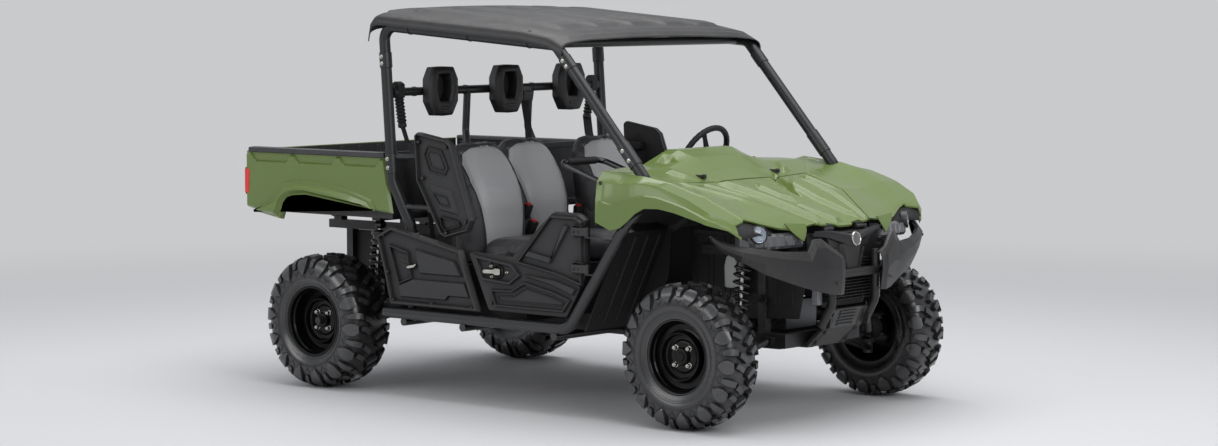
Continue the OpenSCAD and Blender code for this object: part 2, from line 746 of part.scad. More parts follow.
module steering_rack() {
    color("#3f4144") {
        cross_pin(rack_x, rack_z, -210, 210, rack_r);
        both() {
            rod([rack_x, 200, rack_z], [arm_x, arm_y, arm_z + 46], 9);
            translate([arm_x, arm_y, arm_z + 30.5]) cylinder(h = 26, r = 15);
        }
    }
}

module knuckle(s) {
    near = s * (kingpin_y - 24);
    far = s * (kingpin_y + 46);
    tip = s * (front_wheel_y + 66);
    color("#3a3c3e") {
        translate([fx(0), s * kingpin_y, ball_low]) cylinder(h = ball_high - ball_low, r = 20);
        cross_pin(fx(0), axle_z, min(near, far), max(near, far), 48);
        cross_pin(fx(0), axle_z, min(near, tip), max(near, tip), 16);
        rod([fx(-10), s * kingpin_y, arm_z + 15], [arm_x, s * arm_y, arm_z + 15], 11);
        translate([arm_x, s * arm_y, arm_z]) cylinder(h = 30, r = 15);
    }
}

module front_knuckle_right() {
    knuckle(-1);
}

module front_knuckle_left() {
    knuckle(1);
}

// ---------- wheels ----------

// Tyre of width w about the y axis, its outer side towards +y
module tyre(w) {
    bead_r = rim_r - 8;
    h = w / 2;
    rotate([-90, 0, 0]) rotate_extrude($fn = 96) polygon([
        [bead_r, h - 22.3], [rim_r + 1, h - 22.3], [rim_r + 14, h - 10], [bead_r + 62, h], [tyre_r - 58, h - 2], [tyre_r - 24, h - 8],
        [tyre_r - 6, h - 22], [tyre_r, h - 44], [tyre_r, -h + 44], [tyre_r - 6, -h + 22], [tyre_r - 24, -h + 8],
        [tyre_r - 58, -h + 2], [bead_r + 62, -h], [rim_r + 14, -h + 10],
        [bead_r, -h + 22]]);
}

// Dished wheel of width w, with its hub at hub_y from the middle
module rim(w, hub_y) {
    h = w / 2 - 18;
    r = rim_r - 8 - seat_gap;
    rotate([-90, 0, 0]) {
        rotate_extrude($fn = 96) polygon([
            [r - 7, -h], [r, -h], [r, h - 4], [rim_r, h - 4], [rim_r, h], [r - 7, h],
            [r - 9, hub_y + 26], [r - 60, hub_y + 12], [60, hub_y + 24], [16 + run_gap, hub_y + 24],
            [16 + run_gap, hub_y - 2], [60, hub_y - 2], [60, hub_y + 16], [r - 62, hub_y + 4], [r - 15, hub_y + 16]]);
        for (a = [45 : 90 : 359]) rotate([0, 0, a]) translate([50, 0, hub_y + 24]) cylinder(h = 16, r = 9);
    }
}

module place_wheel(x, y) {
    translate([x, y, axle_z]) mirror([0, y < 0 ? 1 : 0, 0]) children();
}

module front_tyre_right() {
    color("#202122") place_wheel(fx(0), -front_wheel_y) tyre(front_tyre_w);
}

module front_tyre_left() {
    color("#202122") place_wheel(fx(0), front_wheel_y) tyre(front_tyre_w);
}

module rear_tyre_right() {
    color("#202122") place_wheel(rx(0), -rear_wheel_y) tyre(rear_tyre_w);
}

module rear_tyre_left() {
    color("#202122") place_wheel(rx(0), rear_wheel_y) tyre(rear_tyre_w);
}

module front_rim_right() {
    color("#101010") place_wheel(fx(0), -front_wheel_y) rim(front_tyre_w, 14);
}

module front_rim_left() {
    color("#101010") place_wheel(fx(0), front_wheel_y) rim(front_tyre_w, 14);
}

module rear_rim_right() {
    color("#101010") place_wheel(rx(0), -rear_wheel_y) rim(rear_tyre_w, 14);
}

module rear_rim_left() {
    color("#101010") place_wheel(rx(0), rear_wheel_y) rim(rear_tyre_w, 14);
}

// ---------- bed ----------

module bed_box() {
    wall = 5;
    y_in = bed_y - 62;
    x0 = rear_x + gate_t + 6;
    color("#1b1c1e") {
        box([x0, -y_in - wall, bed_floor_z - bed_sheet], [bed_front_x, y_in + wall, bed_floor_z]);
        box([bed_front_x - wall, -y_in - wall, bed_floor_z], [bed_front_x, y_in + wall, bed_top_z]);
        both() {
            box([x0, y_in, bed_floor_z], [bed_front_x, y_in + wall, bed_top_z]);
            box([x0, y_in, bed_top_z - 12], [bed_front_x, bed_y, bed_top_z]);
            gate_ear();
            box([bed_hinge_x - 18, rail_out + 6, bed_hinge_z - 8], [bed_hinge_x + 18, rail_out + 24, bed_floor_z - 6]);
            cross_pin(bed_hinge_x, bed_hinge_z, rail_in - 4, rail_out + 24, bed_pin_r);
        }
    }
}

// Ear and pin of the tailgate's hinge
module gate_ear() {
    y = bed_y - 79.7;
    cross_pin(rear_x + 12, gate_hinge_z, y, bed_y - 57, 8);
    box([rear_x + 12, y, gate_hinge_z - 8], [rear_x + gate_t + 8, bed_y - 57, gate_hinge_z + 4]);
}

module bed_fenders() {
    y1 = bed_y;
    side = [[rear_x + 6, bed_top_z - 12], [rear_x + 6, 815], [rear_axle_x - 235, 765], [rear_axle_x - 205, 835],
        [rear_axle_x - 150, 872], [rear_axle_x - 60, 878], [rear_axle_x + 300, 838], [bed_front_x + 50, 822],
        [bed_front_x, bed_top_z - 12]];
    flare = [[rear_x + 60, 795], [rear_axle_x - 235, 765], [rear_axle_x - 205, 835], [rear_axle_x - 150, 872],
        [rear_axle_x - 60, 878], [rear_axle_x + 380, 828], [rear_axle_x + 340, 890], [rear_axle_x + 120, 940],
        [rear_axle_x - 130, 958], [rear_axle_x - 230, 940], [rear_axle_x - 290, 870]];
    color("#6f7f45") both() {
        side_plate(side, y1 - 14, y1);
        side_plate(flare, y1, y1 + 24);
    }
}

module tail_lights() {
    color("#b01515") both() box([rear_x, bed_y - 56, 872], [rear_x + 5.7, bed_y, 1000]);
}

gate_hinge_z = bed_floor_z + 8;

module tailgate() {
    color("#6f7f45") {
        box([rear_x + 2, -(bed_y - 62), gate_hinge_z + 8], [rear_x + gate_t, bed_y - 62, bed_top_z - 4]);
        both() cross_pin(rear_x + 12, gate_hinge_z, bed_y - 200, bed_y - 80, 8);
        both() box([rear_x + 6, bed_y - 200, gate_hinge_z], [rear_x + 18, bed_y - 80, gate_hinge_z + 10]);
    }
}

// ---------- nodes ----------

main_frame();
rear_subframe();
front_subframe();
hitch_receiver();
side_bars();
floor_pan();
skid_plate();
engine_block();
gearcases();
front_suspension_arms();
rear_suspension_arms();
shock_absorbers();
drive_shafts();
rear_hub_carriers();
cage_right();
cage_left();
cage_cross_bars();
roof();
headrests();
seat_base();
seat_cushions();
seat_backs();
shoulder_guards();
side_panels();
front_fenders();
cowl();
dashboard();
inner_fenders();
nose_grille();
headlights();
front_bumper();
brush_guard();
hood();
door_right();
door_left();
steering_wheel();
steering_rack();
front_knuckle_right();
front_knuckle_left();
front_tyre_right();
front_rim_right();
front_tyre_left();
front_rim_left();
rear_tyre_right();
rear_rim_right();
rear_tyre_left();
rear_rim_left();
bed_box();
bed_fenders();
tail_lights();
tailgate();
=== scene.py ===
import json
import math

import bmesh
import bpy
from mathutils import Matrix, Vector
from mathutils.bvhtree import BVHTree
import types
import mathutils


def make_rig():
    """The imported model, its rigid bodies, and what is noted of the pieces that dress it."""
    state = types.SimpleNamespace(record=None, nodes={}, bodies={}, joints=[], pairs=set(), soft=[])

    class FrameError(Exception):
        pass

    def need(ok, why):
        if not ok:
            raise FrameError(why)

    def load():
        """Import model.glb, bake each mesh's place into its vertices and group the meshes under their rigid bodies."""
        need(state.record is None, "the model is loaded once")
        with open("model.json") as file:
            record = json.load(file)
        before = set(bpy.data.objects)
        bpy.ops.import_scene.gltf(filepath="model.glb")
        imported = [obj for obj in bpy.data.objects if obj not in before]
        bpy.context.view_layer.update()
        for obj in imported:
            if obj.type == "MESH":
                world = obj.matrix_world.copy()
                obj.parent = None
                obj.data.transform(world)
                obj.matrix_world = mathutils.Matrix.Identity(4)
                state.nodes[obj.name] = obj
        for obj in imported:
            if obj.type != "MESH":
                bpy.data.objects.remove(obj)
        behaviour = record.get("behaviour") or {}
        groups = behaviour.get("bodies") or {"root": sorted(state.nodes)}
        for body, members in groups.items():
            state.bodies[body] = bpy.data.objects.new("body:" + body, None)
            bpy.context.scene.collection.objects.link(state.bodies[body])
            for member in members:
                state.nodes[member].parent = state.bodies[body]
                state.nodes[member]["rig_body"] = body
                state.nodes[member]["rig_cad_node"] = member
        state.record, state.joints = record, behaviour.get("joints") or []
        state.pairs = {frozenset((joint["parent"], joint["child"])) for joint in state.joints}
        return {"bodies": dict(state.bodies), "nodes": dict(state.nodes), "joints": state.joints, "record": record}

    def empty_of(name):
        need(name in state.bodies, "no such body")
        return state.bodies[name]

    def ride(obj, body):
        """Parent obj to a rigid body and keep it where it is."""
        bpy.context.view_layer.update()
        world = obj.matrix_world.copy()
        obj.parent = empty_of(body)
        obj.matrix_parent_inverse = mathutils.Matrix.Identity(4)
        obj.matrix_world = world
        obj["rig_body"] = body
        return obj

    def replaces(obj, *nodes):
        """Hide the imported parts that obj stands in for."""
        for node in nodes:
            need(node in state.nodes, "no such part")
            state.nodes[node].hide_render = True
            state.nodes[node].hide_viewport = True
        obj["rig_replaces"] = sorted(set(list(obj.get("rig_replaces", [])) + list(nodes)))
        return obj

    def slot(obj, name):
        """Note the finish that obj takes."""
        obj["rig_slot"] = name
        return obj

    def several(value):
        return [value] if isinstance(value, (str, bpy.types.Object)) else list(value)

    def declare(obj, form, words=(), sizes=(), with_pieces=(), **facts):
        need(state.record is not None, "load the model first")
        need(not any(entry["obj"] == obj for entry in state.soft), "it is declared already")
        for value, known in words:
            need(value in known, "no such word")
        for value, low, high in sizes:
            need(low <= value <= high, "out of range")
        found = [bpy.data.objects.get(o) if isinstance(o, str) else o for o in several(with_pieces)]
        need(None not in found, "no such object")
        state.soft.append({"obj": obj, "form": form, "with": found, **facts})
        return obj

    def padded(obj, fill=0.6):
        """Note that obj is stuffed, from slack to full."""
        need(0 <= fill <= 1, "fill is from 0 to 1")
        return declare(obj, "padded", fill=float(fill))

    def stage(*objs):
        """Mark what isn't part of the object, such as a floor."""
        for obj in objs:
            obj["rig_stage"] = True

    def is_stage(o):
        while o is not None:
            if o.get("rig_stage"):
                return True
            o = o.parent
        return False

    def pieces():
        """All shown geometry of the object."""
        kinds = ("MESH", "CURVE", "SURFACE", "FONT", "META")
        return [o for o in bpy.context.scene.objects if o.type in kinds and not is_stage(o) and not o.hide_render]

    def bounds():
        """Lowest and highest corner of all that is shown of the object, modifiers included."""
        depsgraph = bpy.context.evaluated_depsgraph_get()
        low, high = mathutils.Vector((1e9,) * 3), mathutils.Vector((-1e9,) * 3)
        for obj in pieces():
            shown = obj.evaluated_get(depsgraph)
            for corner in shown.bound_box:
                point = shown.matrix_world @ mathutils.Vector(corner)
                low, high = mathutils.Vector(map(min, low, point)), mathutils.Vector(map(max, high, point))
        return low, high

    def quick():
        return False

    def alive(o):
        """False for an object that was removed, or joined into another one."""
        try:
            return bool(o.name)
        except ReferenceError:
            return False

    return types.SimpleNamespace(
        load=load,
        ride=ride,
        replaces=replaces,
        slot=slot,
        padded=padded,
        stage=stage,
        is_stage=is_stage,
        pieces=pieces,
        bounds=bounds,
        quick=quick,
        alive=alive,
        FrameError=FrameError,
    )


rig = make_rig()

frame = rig.load()
cad_low, cad_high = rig.bounds()

# %% [markdown]
# # A side by side utility vehicle, piece by piece
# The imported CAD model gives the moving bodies, the bores and the sizes. This lesson puts the visible
# skin round it: moulded panels, padded seats, mud tyres and bent tubes. Every number below is in
# millimetres, as a drawing would have it, and becomes metres in one place, when a piece is made.

# %% Sizes shared by many pieces
MM = 0.001
SIDES = ((-1, "right"), (1, "left"))
FRONT_AXLE, REAR_AXLE, AXLE_Z = 1105.0, -1030.0, 308.0
BODY_Y, BED_Y = 750.0, 745.0
print("CAD box in metres:", [round(v, 3) for v in cad_low], [round(v, 3) for v in cad_high])


def fx(d):
    return FRONT_AXLE + d


def rx(d):
    return REAR_AXLE + d


# %% [markdown]
# ## The camera and the studio
# A long lens from far away keeps the wheels round and the body's lines nearly parallel. The camera
# stands a little above the seats, ahead of the right front wheel.

# %% Camera
AZIMUTH, ELEVATION, ROLL = (math.radians(a) for a in (40.09, 4.50, -0.14))
STANDPOINT, SENSOR, LENS = Vector((8455.147, -9932.736, 1789.162)), 36.0, 84.78
camera = bpy.data.objects.new("camera", bpy.data.cameras.new("camera"))
bpy.context.scene.collection.objects.link(camera)
back = Vector((math.sin(AZIMUTH) * math.cos(ELEVATION), -math.cos(AZIMUTH) * math.cos(ELEVATION),
               math.sin(ELEVATION)))
right = Vector((math.cos(AZIMUTH), math.sin(AZIMUTH), 0))
up = back.cross(right)
right, up = (right * math.cos(ROLL) + up * math.sin(ROLL), up * math.cos(ROLL) - right * math.sin(ROLL))
place = Matrix((right, up, back)).transposed().to_4x4()
place.translation = STANDPOINT * MM
camera.matrix_world = place
camera.data.sensor_width, camera.data.lens = SENSOR, LENS
camera.data.clip_start, camera.data.clip_end = 0.5, 200.0
bpy.context.scene.camera = camera
print("camera", round(place.translation.length, 2), "m from the middle of the vehicle")

# %% [markdown]
# The studio is one pale floor that runs past the horizon, a grey world, a broad soft lamp overhead
# that draws the highlight along every upper edge, and two weaker ones at the sides. The floor's colour is
# painted lighter round the vehicle, a painted pool of light.


# %% Node helpers
def feed(tree, value, socket):
    """Gives an input its value: another node's output is linked to it, anything else is set."""
    if isinstance(value, bpy.types.NodeSocket):
        tree.links.new(value, socket)
    else:
        socket.default_value = value


def node(tree, kind, **values):
    """A node with its settings, input values and links to its inputs given by name."""
    made = tree.nodes.new(kind)
    for key, value in values.items():
        if hasattr(made, key):
            setattr(made, key, value)
        else:
            feed(tree, value, made.inputs[key.replace("_", " ")])
    return made


def maths(tree, operation, a, b, clamp=False):
    """One step of arithmetic; a and b are outputs or numbers."""
    made = node(tree, "ShaderNodeMath", operation=operation, use_clamp=clamp)
    for socket, value in zip(made.inputs, (a, b)):
        feed(tree, value, socket)
    return made.outputs[0]


def blend_colours(tree, factor, a, b):
    made = node(tree, "ShaderNodeMix", data_type="RGBA")
    for socket, value in zip((made.inputs["Factor"], made.inputs[6], made.inputs[7]), (factor, a, b)):
        feed(tree, value, socket)
    return made.outputs[2]


def mix_shaders(tree, share, first, second, end):
    """Ends a tree with a mix of two shaders."""
    made = tree.nodes.new("ShaderNodeMixShader")
    for socket, value in zip(made.inputs, (share, first, second)):
        tree.links.new(value, socket)
    tree.links.new(made.outputs[0], end.inputs[0])


def colour4(rgb):
    """A colour given as it looks on a screen, from 0 to 255, as the linear value that a shader wants."""
    return tuple(((c / 255 + 0.055) / 1.055) ** 2.4 if c > 10 else c / 255 / 12.92 for c in rgb) + (1.0,)


# %% Floor and world
def make_floor():
    mesh = bpy.data.meshes.new("studio_floor")
    mesh.from_pydata([(x, y, 0) for x, y in ((-90, -90), (90, -90), (90, 90), (-90, 90))], [], [(0, 1, 2, 3)])
    floor = bpy.data.objects.new("studio_floor", mesh)
    bpy.context.scene.collection.objects.link(floor)
    material = bpy.data.materials.new("studio_floor")
    material.use_nodes = True
    tree = material.node_tree
    bsdf = tree.nodes["Principled BSDF"]
    bsdf.inputs["Roughness"].default_value = 0.75
    bsdf.inputs["Specular IOR Level"].default_value = 0.25
    spot = node(tree, "ShaderNodeTexCoord")
    distance = node(tree, "ShaderNodeVectorMath", operation="LENGTH")
    tree.links.new(spot.outputs["Object"], distance.inputs[0])
    ramp, far = (node(tree, "ShaderNodeMapRange", interpolation_type="SMOOTHSTEP",
                      Value=distance.outputs["Value"], From_Min=start, From_Max=end)
                 for start, end in ((2.0, 14.0), (2.6, 9.0)))
    # The floor's colour is painted lighter within a few metres of the middle: a painted pool of light round the
    # vehicle.
    tree.links.new(blend_colours(tree, ramp.outputs["Result"], FLOOR_PAINTED_LIGHT_POOL, FLOOR_FAR),
                   bsdf.inputs["Base Color"])
    glow = node(tree, "ShaderNodeEmission", Color=FLOOR_FAR, Strength=1.0)
    rays = node(tree, "ShaderNodeLightPath")
    seen_by = maths(tree, "MAXIMUM", rays.outputs["Is Camera Ray"], rays.outputs["Is Glossy Ray"])
    share = maths(tree, "MULTIPLY", seen_by, far.outputs["Result"])
    mix_shaders(tree, share, bsdf.outputs[0], glow.outputs[0], tree.nodes["Material Output"])
    mesh.materials.append(material)
    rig.stage(floor)
    return floor


# The first colour is the painted pool of light near the vehicle; the second is the plain backdrop far off.
FLOOR_PAINTED_LIGHT_POOL, FLOOR_FAR = (0.66, 0.66, 0.668, 1), (0.588, 0.592, 0.603, 1)
floor = make_floor()
world = bpy.data.worlds.new("studio")
bpy.context.scene.world = world
world.use_nodes = True
sky = world.node_tree
light = sky.nodes["Background"]
light.inputs["Color"].default_value, light.inputs["Strength"].default_value = (0.93, 0.95, 1.0, 1), 0.52
seen = node(sky, "ShaderNodeBackground", Color=FLOOR_FAR, Strength=1.0)
path = node(sky, "ShaderNodeLightPath")
mix_shaders(sky, path.outputs["Is Camera Ray"], light.outputs[0], seen.outputs[0], sky.nodes["World Output"])


# %% Lamps
def soft_lamp(name, at, towards, size, watts):
    data = bpy.data.lights.new(name, "AREA")
    data.shape, data.size, data.size_y, data.energy = "RECTANGLE", size[0], size[1], watts
    lamp = bpy.data.objects.new(name, data)
    bpy.context.scene.collection.objects.link(lamp)
    lamp.location = at
    lamp.rotation_mode = "QUATERNION"
    lamp.rotation_quaternion = (Vector(towards) - Vector(at)).to_track_quat("-Z", "Y")
    return lamp


soft_lamp("overhead", (0.2, 0.6, 6.0), (0.2, 0.2, 0), (7.5, 5.0), 300)
soft_lamp("front_fill", (6.5, -2.5, 3.2), (0.6, 0, 0.7), (4.0, 3.0), 120)
soft_lamp("side_fill", (-2.5, -7.5, 3.8), (-0.2, 0, 0.6), (6.0, 2.5), 120)
bpy.context.scene.view_settings.view_transform = "Standard"
print("floor, world and 3 lamps")

# %% [markdown]
# ## Finishes
# A moulded panel, a sprayed tube and a vinyl seat differ less in colour than in how their surface is
# broken up. So the effects are built first, once each, as node groups with named inputs: fine grain,
# uneven tone, vinyl cells, woven webbing, rubbed edges and dust. Each material then places the groups
# it needs round its own Principled shader.


# %% Effects as node groups
def effect(name, inputs, outputs):
    """An empty node group with its named sockets, and its input and output nodes."""
    tree = bpy.data.node_groups.new(name, "ShaderNodeTree")
    for label, kind, value in inputs:
        socket = tree.interface.new_socket(label, in_out="INPUT", socket_type="NodeSocket" + kind)
        socket.default_value = value
    for label, kind in outputs:
        tree.interface.new_socket(label, in_out="OUTPUT", socket_type="NodeSocket" + kind)
    return tree, tree.nodes.new("NodeGroupInput"), tree.nodes.new("NodeGroupOutput")


def noise(tree, scale, detail=3.0, rough=0.55):
    """Noise fixed to the piece; scale is an output or a number, in waves per metre."""
    place = tree.nodes.new("ShaderNodeTexCoord")
    made = node(tree, "ShaderNodeTexNoise", Vector=place.outputs["Object"], Scale=scale, Detail=detail,
                Roughness=rough)
    return made.outputs["Fac"]


def make_grain():
    tree, given, out = effect("moulded_grain", [("Scale", "Float", 900.0), ("Unevenness", "Float", 0.3)],
                              [("Height", "Float")])
    fine = noise(tree, given.outputs["Scale"], 2.0)
    broad = noise(tree, maths(tree, "MULTIPLY", given.outputs["Scale"], 0.02), 3.0)
    tree.links.new(maths(tree, "ADD", fine, maths(tree, "MULTIPLY", broad, given.outputs["Unevenness"])),
                   out.inputs["Height"])
    return tree


def make_tone():
    tree, given, out = effect("uneven_tone", [("Colour", "Color", (1, 1, 1, 1)), ("Amount", "Float", 0.1),
                                              ("Scale", "Float", 6.0)],
                              [("Colour", "Color"), ("Mask", "Float")])
    cloud = noise(tree, given.outputs["Scale"], 4.0, 0.6)
    mask = maths(tree, "MULTIPLY", maths(tree, "SUBTRACT", cloud, 0.5), given.outputs["Amount"])
    shade = node(tree, "ShaderNodeHueSaturation", Color=given.outputs["Colour"],
                 Value=maths(tree, "ADD", mask, 1.0))
    tree.links.new(shade.outputs[0], out.inputs["Colour"])
    tree.links.new(cloud, out.inputs["Mask"])
    return tree


def make_rubbed_edges():
    tree, given, out = effect("rubbed_edges", [("Colour", "Color", (0, 0, 0, 1)),
                              ("Edge Colour", "Color", (0.3, 0.3, 0.3, 1)), ("Amount", "Float", 0.4)],
                              [("Colour", "Color"), ("Mask", "Float")])
    bend = tree.nodes.new("ShaderNodeNewGeometry").outputs["Pointiness"]
    ridge = maths(tree, "MULTIPLY", maths(tree, "SUBTRACT", bend, 0.52), 14.0, clamp=True)
    broken = maths(tree, "MULTIPLY", noise(tree, 45.0, 5.0), 1.3)
    mask = maths(tree, "MULTIPLY", maths(tree, "MULTIPLY", ridge, broken), given.outputs["Amount"],
                 clamp=True)
    tree.links.new(blend_colours(tree, mask, given.outputs["Colour"], given.outputs["Edge Colour"]),
                   out.inputs["Colour"])
    tree.links.new(mask, out.inputs["Mask"])
    return tree


def make_dust():
    tree, given, out = effect("settled_dust", [("Colour", "Color", (0, 0, 0, 1)), ("Amount", "Float", 0.15),
                              ("Dust Colour", "Color", (0.32, 0.30, 0.27, 1))],
                              [("Colour", "Color"), ("Mask", "Float")])
    shape = tree.nodes.new("ShaderNodeNewGeometry")
    split = tree.nodes.new("ShaderNodeSeparateXYZ")
    tree.links.new(shape.outputs["Normal"], split.inputs[0])
    upward = maths(tree, "MAXIMUM", split.outputs["Z"], 0.0)
    patch = maths(tree, "MULTIPLY", maths(tree, "SUBTRACT", noise(tree, 9.0, 6.0, 0.7), 0.35), 2.2,
                  clamp=True)
    mask = maths(tree, "MULTIPLY", maths(tree, "MULTIPLY", upward, patch), given.outputs["Amount"],
                 clamp=True)
    tree.links.new(blend_colours(tree, mask, given.outputs["Colour"], given.outputs["Dust Colour"]),
                   out.inputs["Colour"])
    tree.links.new(mask, out.inputs["Mask"])
    return tree


def make_vinyl():
    tree, given, out = effect("vinyl_cells", [("Scale", "Float", 420.0)], [("Height", "Float")])
    place = tree.nodes.new("ShaderNodeTexCoord")
    cells = node(tree, "ShaderNodeTexVoronoi", feature="DISTANCE_TO_EDGE", Vector=place.outputs["Object"],
                 Scale=given.outputs["Scale"])
    dome = maths(tree, "MULTIPLY", cells.outputs["Distance"], 4.0, clamp=True)
    tree.links.new(maths(tree, "ADD", dome, maths(tree, "MULTIPLY", noise(tree, 30.0, 3.0), 0.6)),
                   out.inputs["Height"])
    return tree


def make_weave():
    tree, given, out = effect("webbing_weave", [("Scale", "Float", 500.0)],
                              [("Height", "Float"), ("Mask", "Float")])
    place = tree.nodes.new("ShaderNodeTexCoord")
    waves = []
    for turn in ("X", "Z"):
        wave = node(tree, "ShaderNodeTexWave", wave_type="BANDS", bands_direction=turn,
                    Vector=place.outputs["Object"], Scale=given.outputs["Scale"])
        waves.append(wave.outputs["Fac"])
    both_ways = maths(tree, "MULTIPLY", waves[0], waves[1])
    tree.links.new(both_ways, out.inputs["Height"])
    tree.links.new(both_ways, out.inputs["Mask"])
    return tree


GRAIN, TONE, RUBBED, DUST, VINYL, WEAVE = (make() for make in (
    make_grain, make_tone, make_rubbed_edges, make_dust, make_vinyl, make_weave))
print("effects:", ", ".join(t.name for t in (GRAIN, TONE, RUBBED, DUST, VINYL, WEAVE)))


# %% [markdown]
# One function lays the groups round a shader. Colour goes through tone, rubbed edges and dust, each of
# which is left out where its amount is nought; the grain goes to a bump node and shifts the roughness.
# Where asked, ambient occlusion dims the gloss in hollows, a painted shade.


# %% A finish
def place_group(tree, group, **values):
    made = tree.nodes.new("ShaderNodeGroup")
    made.node_tree = group
    for key, value in values.items():
        feed(tree, value, made.inputs[key.replace("_", " ")])
    return made


def finish(name, rgb, roughness, tone=0.12, edges=0.0, edge_rgb=(120, 120, 118), dust=0.0,
           grain=(900.0, 0.08),
           relief=GRAIN, metallic=0.0, coat=0.0, rough_spread=0.12, specular=0.5, painted_shade_distance=0.0, **shader):
    """A material: its colour as seen on a screen, its roughness, and how much of each effect it shows."""
    material = bpy.data.materials.new(name)
    material.use_nodes = True
    tree = material.node_tree
    bsdf = tree.nodes["Principled BSDF"]
    shader.update(Metallic=metallic, Coat_Weight=coat, Coat_Roughness=0.08, Specular_IOR_Level=specular)
    for key, value in shader.items():
        bsdf.inputs[key.replace("_", " ")].default_value = value
    toned = place_group(tree, TONE, Colour=colour4(rgb), Amount=tone, Scale=5.0)
    colour = toned.outputs["Colour"]
    if edges:
        colour = place_group(tree, RUBBED, Colour=colour, Edge_Colour=colour4(edge_rgb),
                             Amount=edges).outputs["Colour"]
    if dust:
        colour = place_group(tree, DUST, Colour=colour, Amount=dust).outputs["Colour"]
    if painted_shade_distance:
        # Painted shade: the gloss is scaled by ambient occlusion within the given distance, so hollows shine less
        open_sky = node(tree, "ShaderNodeAmbientOcclusion", Distance=painted_shade_distance)
        gloss = maths(tree, "MULTIPLY", maths(tree, "POWER", open_sky.outputs["AO"], 2.2), specular)
        tree.links.new(gloss, bsdf.inputs["Specular IOR Level"])
    tree.links.new(colour, bsdf.inputs["Base Color"])
    spread = maths(tree, "MULTIPLY", maths(tree, "SUBTRACT", toned.outputs["Mask"], 0.5), rough_spread)
    tree.links.new(maths(tree, "ADD", spread, roughness, clamp=True), bsdf.inputs["Roughness"])
    if grain:
        cells = place_group(tree, relief, Scale=grain[0])
        bump = node(tree, "ShaderNodeBump", Strength=min(1.0, grain[1]), Distance=0.0012,
                    Height=cells.outputs["Height"])
        tree.links.new(bump.outputs["Normal"], bsdf.inputs["Normal"])
    return material


# %% The vehicle's finishes
olive = finish("olive_panel", (104, 124, 62), 0.33, tone=0.05, grain=(700.0, 0.05), coat=0.25, dust=0.03)
# Its gloss carries painted shade in grooves and recesses, within 5 cm.
black_plastic = finish("grained_black_plastic", (26, 26, 27), 0.43, painted_shade_distance=0.05, specular=0.6, tone=0.16,
                       grain=(1100.0, 0.35), edges=0.35, edge_rgb=(96, 96, 98), dust=0.12)
dark_plastic = finish("bumper_plastic", (25, 25, 26), 0.42, tone=0.14, grain=(1000.0, 0.3), edges=0.3,
                      dust=0.1)
liner = finish("liner_plastic", (20, 20, 21), 0.62, tone=0.2, grain=(500.0, 0.25), dust=0.08)
cage_paint = finish("cage_powder_coat", (30, 31, 32), 0.34, tone=0.08, grain=(1500.0, 0.12), edges=0.15)
bar_paint = finish("bar_gloss_paint", (22, 22, 24), 0.24, tone=0.08, grain=(260.0, 0.03), coat=0.6)
frame_paint = finish("frame_paint", (20, 20, 22), 0.42, tone=0.2, grain=(800.0, 0.1), edges=0.2, dust=0.25)
wheel_paint = finish("wheel_gloss_paint", (7, 7, 8), 0.34, tone=0.1, grain=(200.0, 0.03), coat=0.22,
                     edges=0.08, specular=0.15)
# Its gloss carries painted shade in the grooves between the lugs, within 6 cm.
tyre_rubber = finish("tyre_rubber", (15, 15, 16), 0.27, tone=0.25, grain=(420.0, 0.25), edges=0.3,
                     edge_rgb=(92, 92, 94), dust=0.05, specular=1.0, painted_shade_distance=0.06, coat=0.12)
# Its gloss carries painted shade reaching 30 cm from hollows and edges, so it is darker towards the seat's edges and
# foot.
seat_vinyl = finish("seat_vinyl_grey", (188, 188, 189), 0.3, tone=0.06, grain=(520.0, 0.2), relief=VINYL,
                    specular=1.0, painted_shade_distance=0.3, coat=0.15)
cushion_vinyl = finish("seat_vinyl_mid", (96, 96, 98), 0.36, tone=0.08, grain=(520.0, 0.25), relief=VINYL)
bolster_vinyl = finish("seat_vinyl_dark", (62, 62, 64), 0.4, tone=0.08, grain=(520.0, 0.25), relief=VINYL)
webbing = finish("belt_webbing", (30, 30, 32), 0.7, tone=0.1, grain=(330.0, 0.8), relief=WEAVE)
rubber = finish("soft_rubber", (24, 24, 25), 0.6, tone=0.15, grain=(600.0, 0.25), dust=0.05)
cast_metal = finish("cast_aluminium", (120, 121, 124), 0.42, metallic=0.9, tone=0.2, grain=(300.0, 0.3),
                    dust=0.2)
iron = finish("cast_iron", (62, 62, 64), 0.5, metallic=0.6, tone=0.25, grain=(260.0, 0.4), dust=0.25)
zinc = finish("zinc_plate", (196, 194, 186), 0.26, metallic=1.0, tone=0.12, grain=(700.0, 0.06))
spring_paint = finish("spring_paint", (16, 16, 17), 0.3, tone=0.1, grain=(300.0, 0.05), coat=0.5)
radiator = finish("radiator_fins", (150, 152, 156), 0.4, metallic=0.8, tone=0.2, grain=(420.0, 0.5))
bottle = finish("bottle_plastic", (186, 190, 184), 0.45, tone=0.06, grain=(90.0, 0.05))
red_plastic = finish("buckle_red", (214, 26, 22), 0.36, tone=0.05, grain=(900.0, 0.05))
lamp_grey = finish("lamp_housing", (84, 85, 88), 0.18, tone=0.05, grain=(120.0, 0.03), coat=1.0)
reflector = finish("lamp_reflector", (210, 212, 216), 0.12, metallic=1.0, tone=0.04, grain=(120.0, 0.04))
red_lens = finish("tail_lens", (206, 20, 22), 0.12, tone=0.04, grain=(240.0, 0.25), coat=1.0,
                  Emission_Color=(1, 0.02, 0.02, 1), Emission_Strength=0.08)
clear_lens = finish("headlamp_glass", (236, 240, 244), 0.03, tone=0.0, grain=(60.0, 0.02),
                    Transmission_Weight=1.0, rough_spread=0.0)
print(len([m for m in bpy.data.materials if m.name != "studio_floor"]), "finishes")

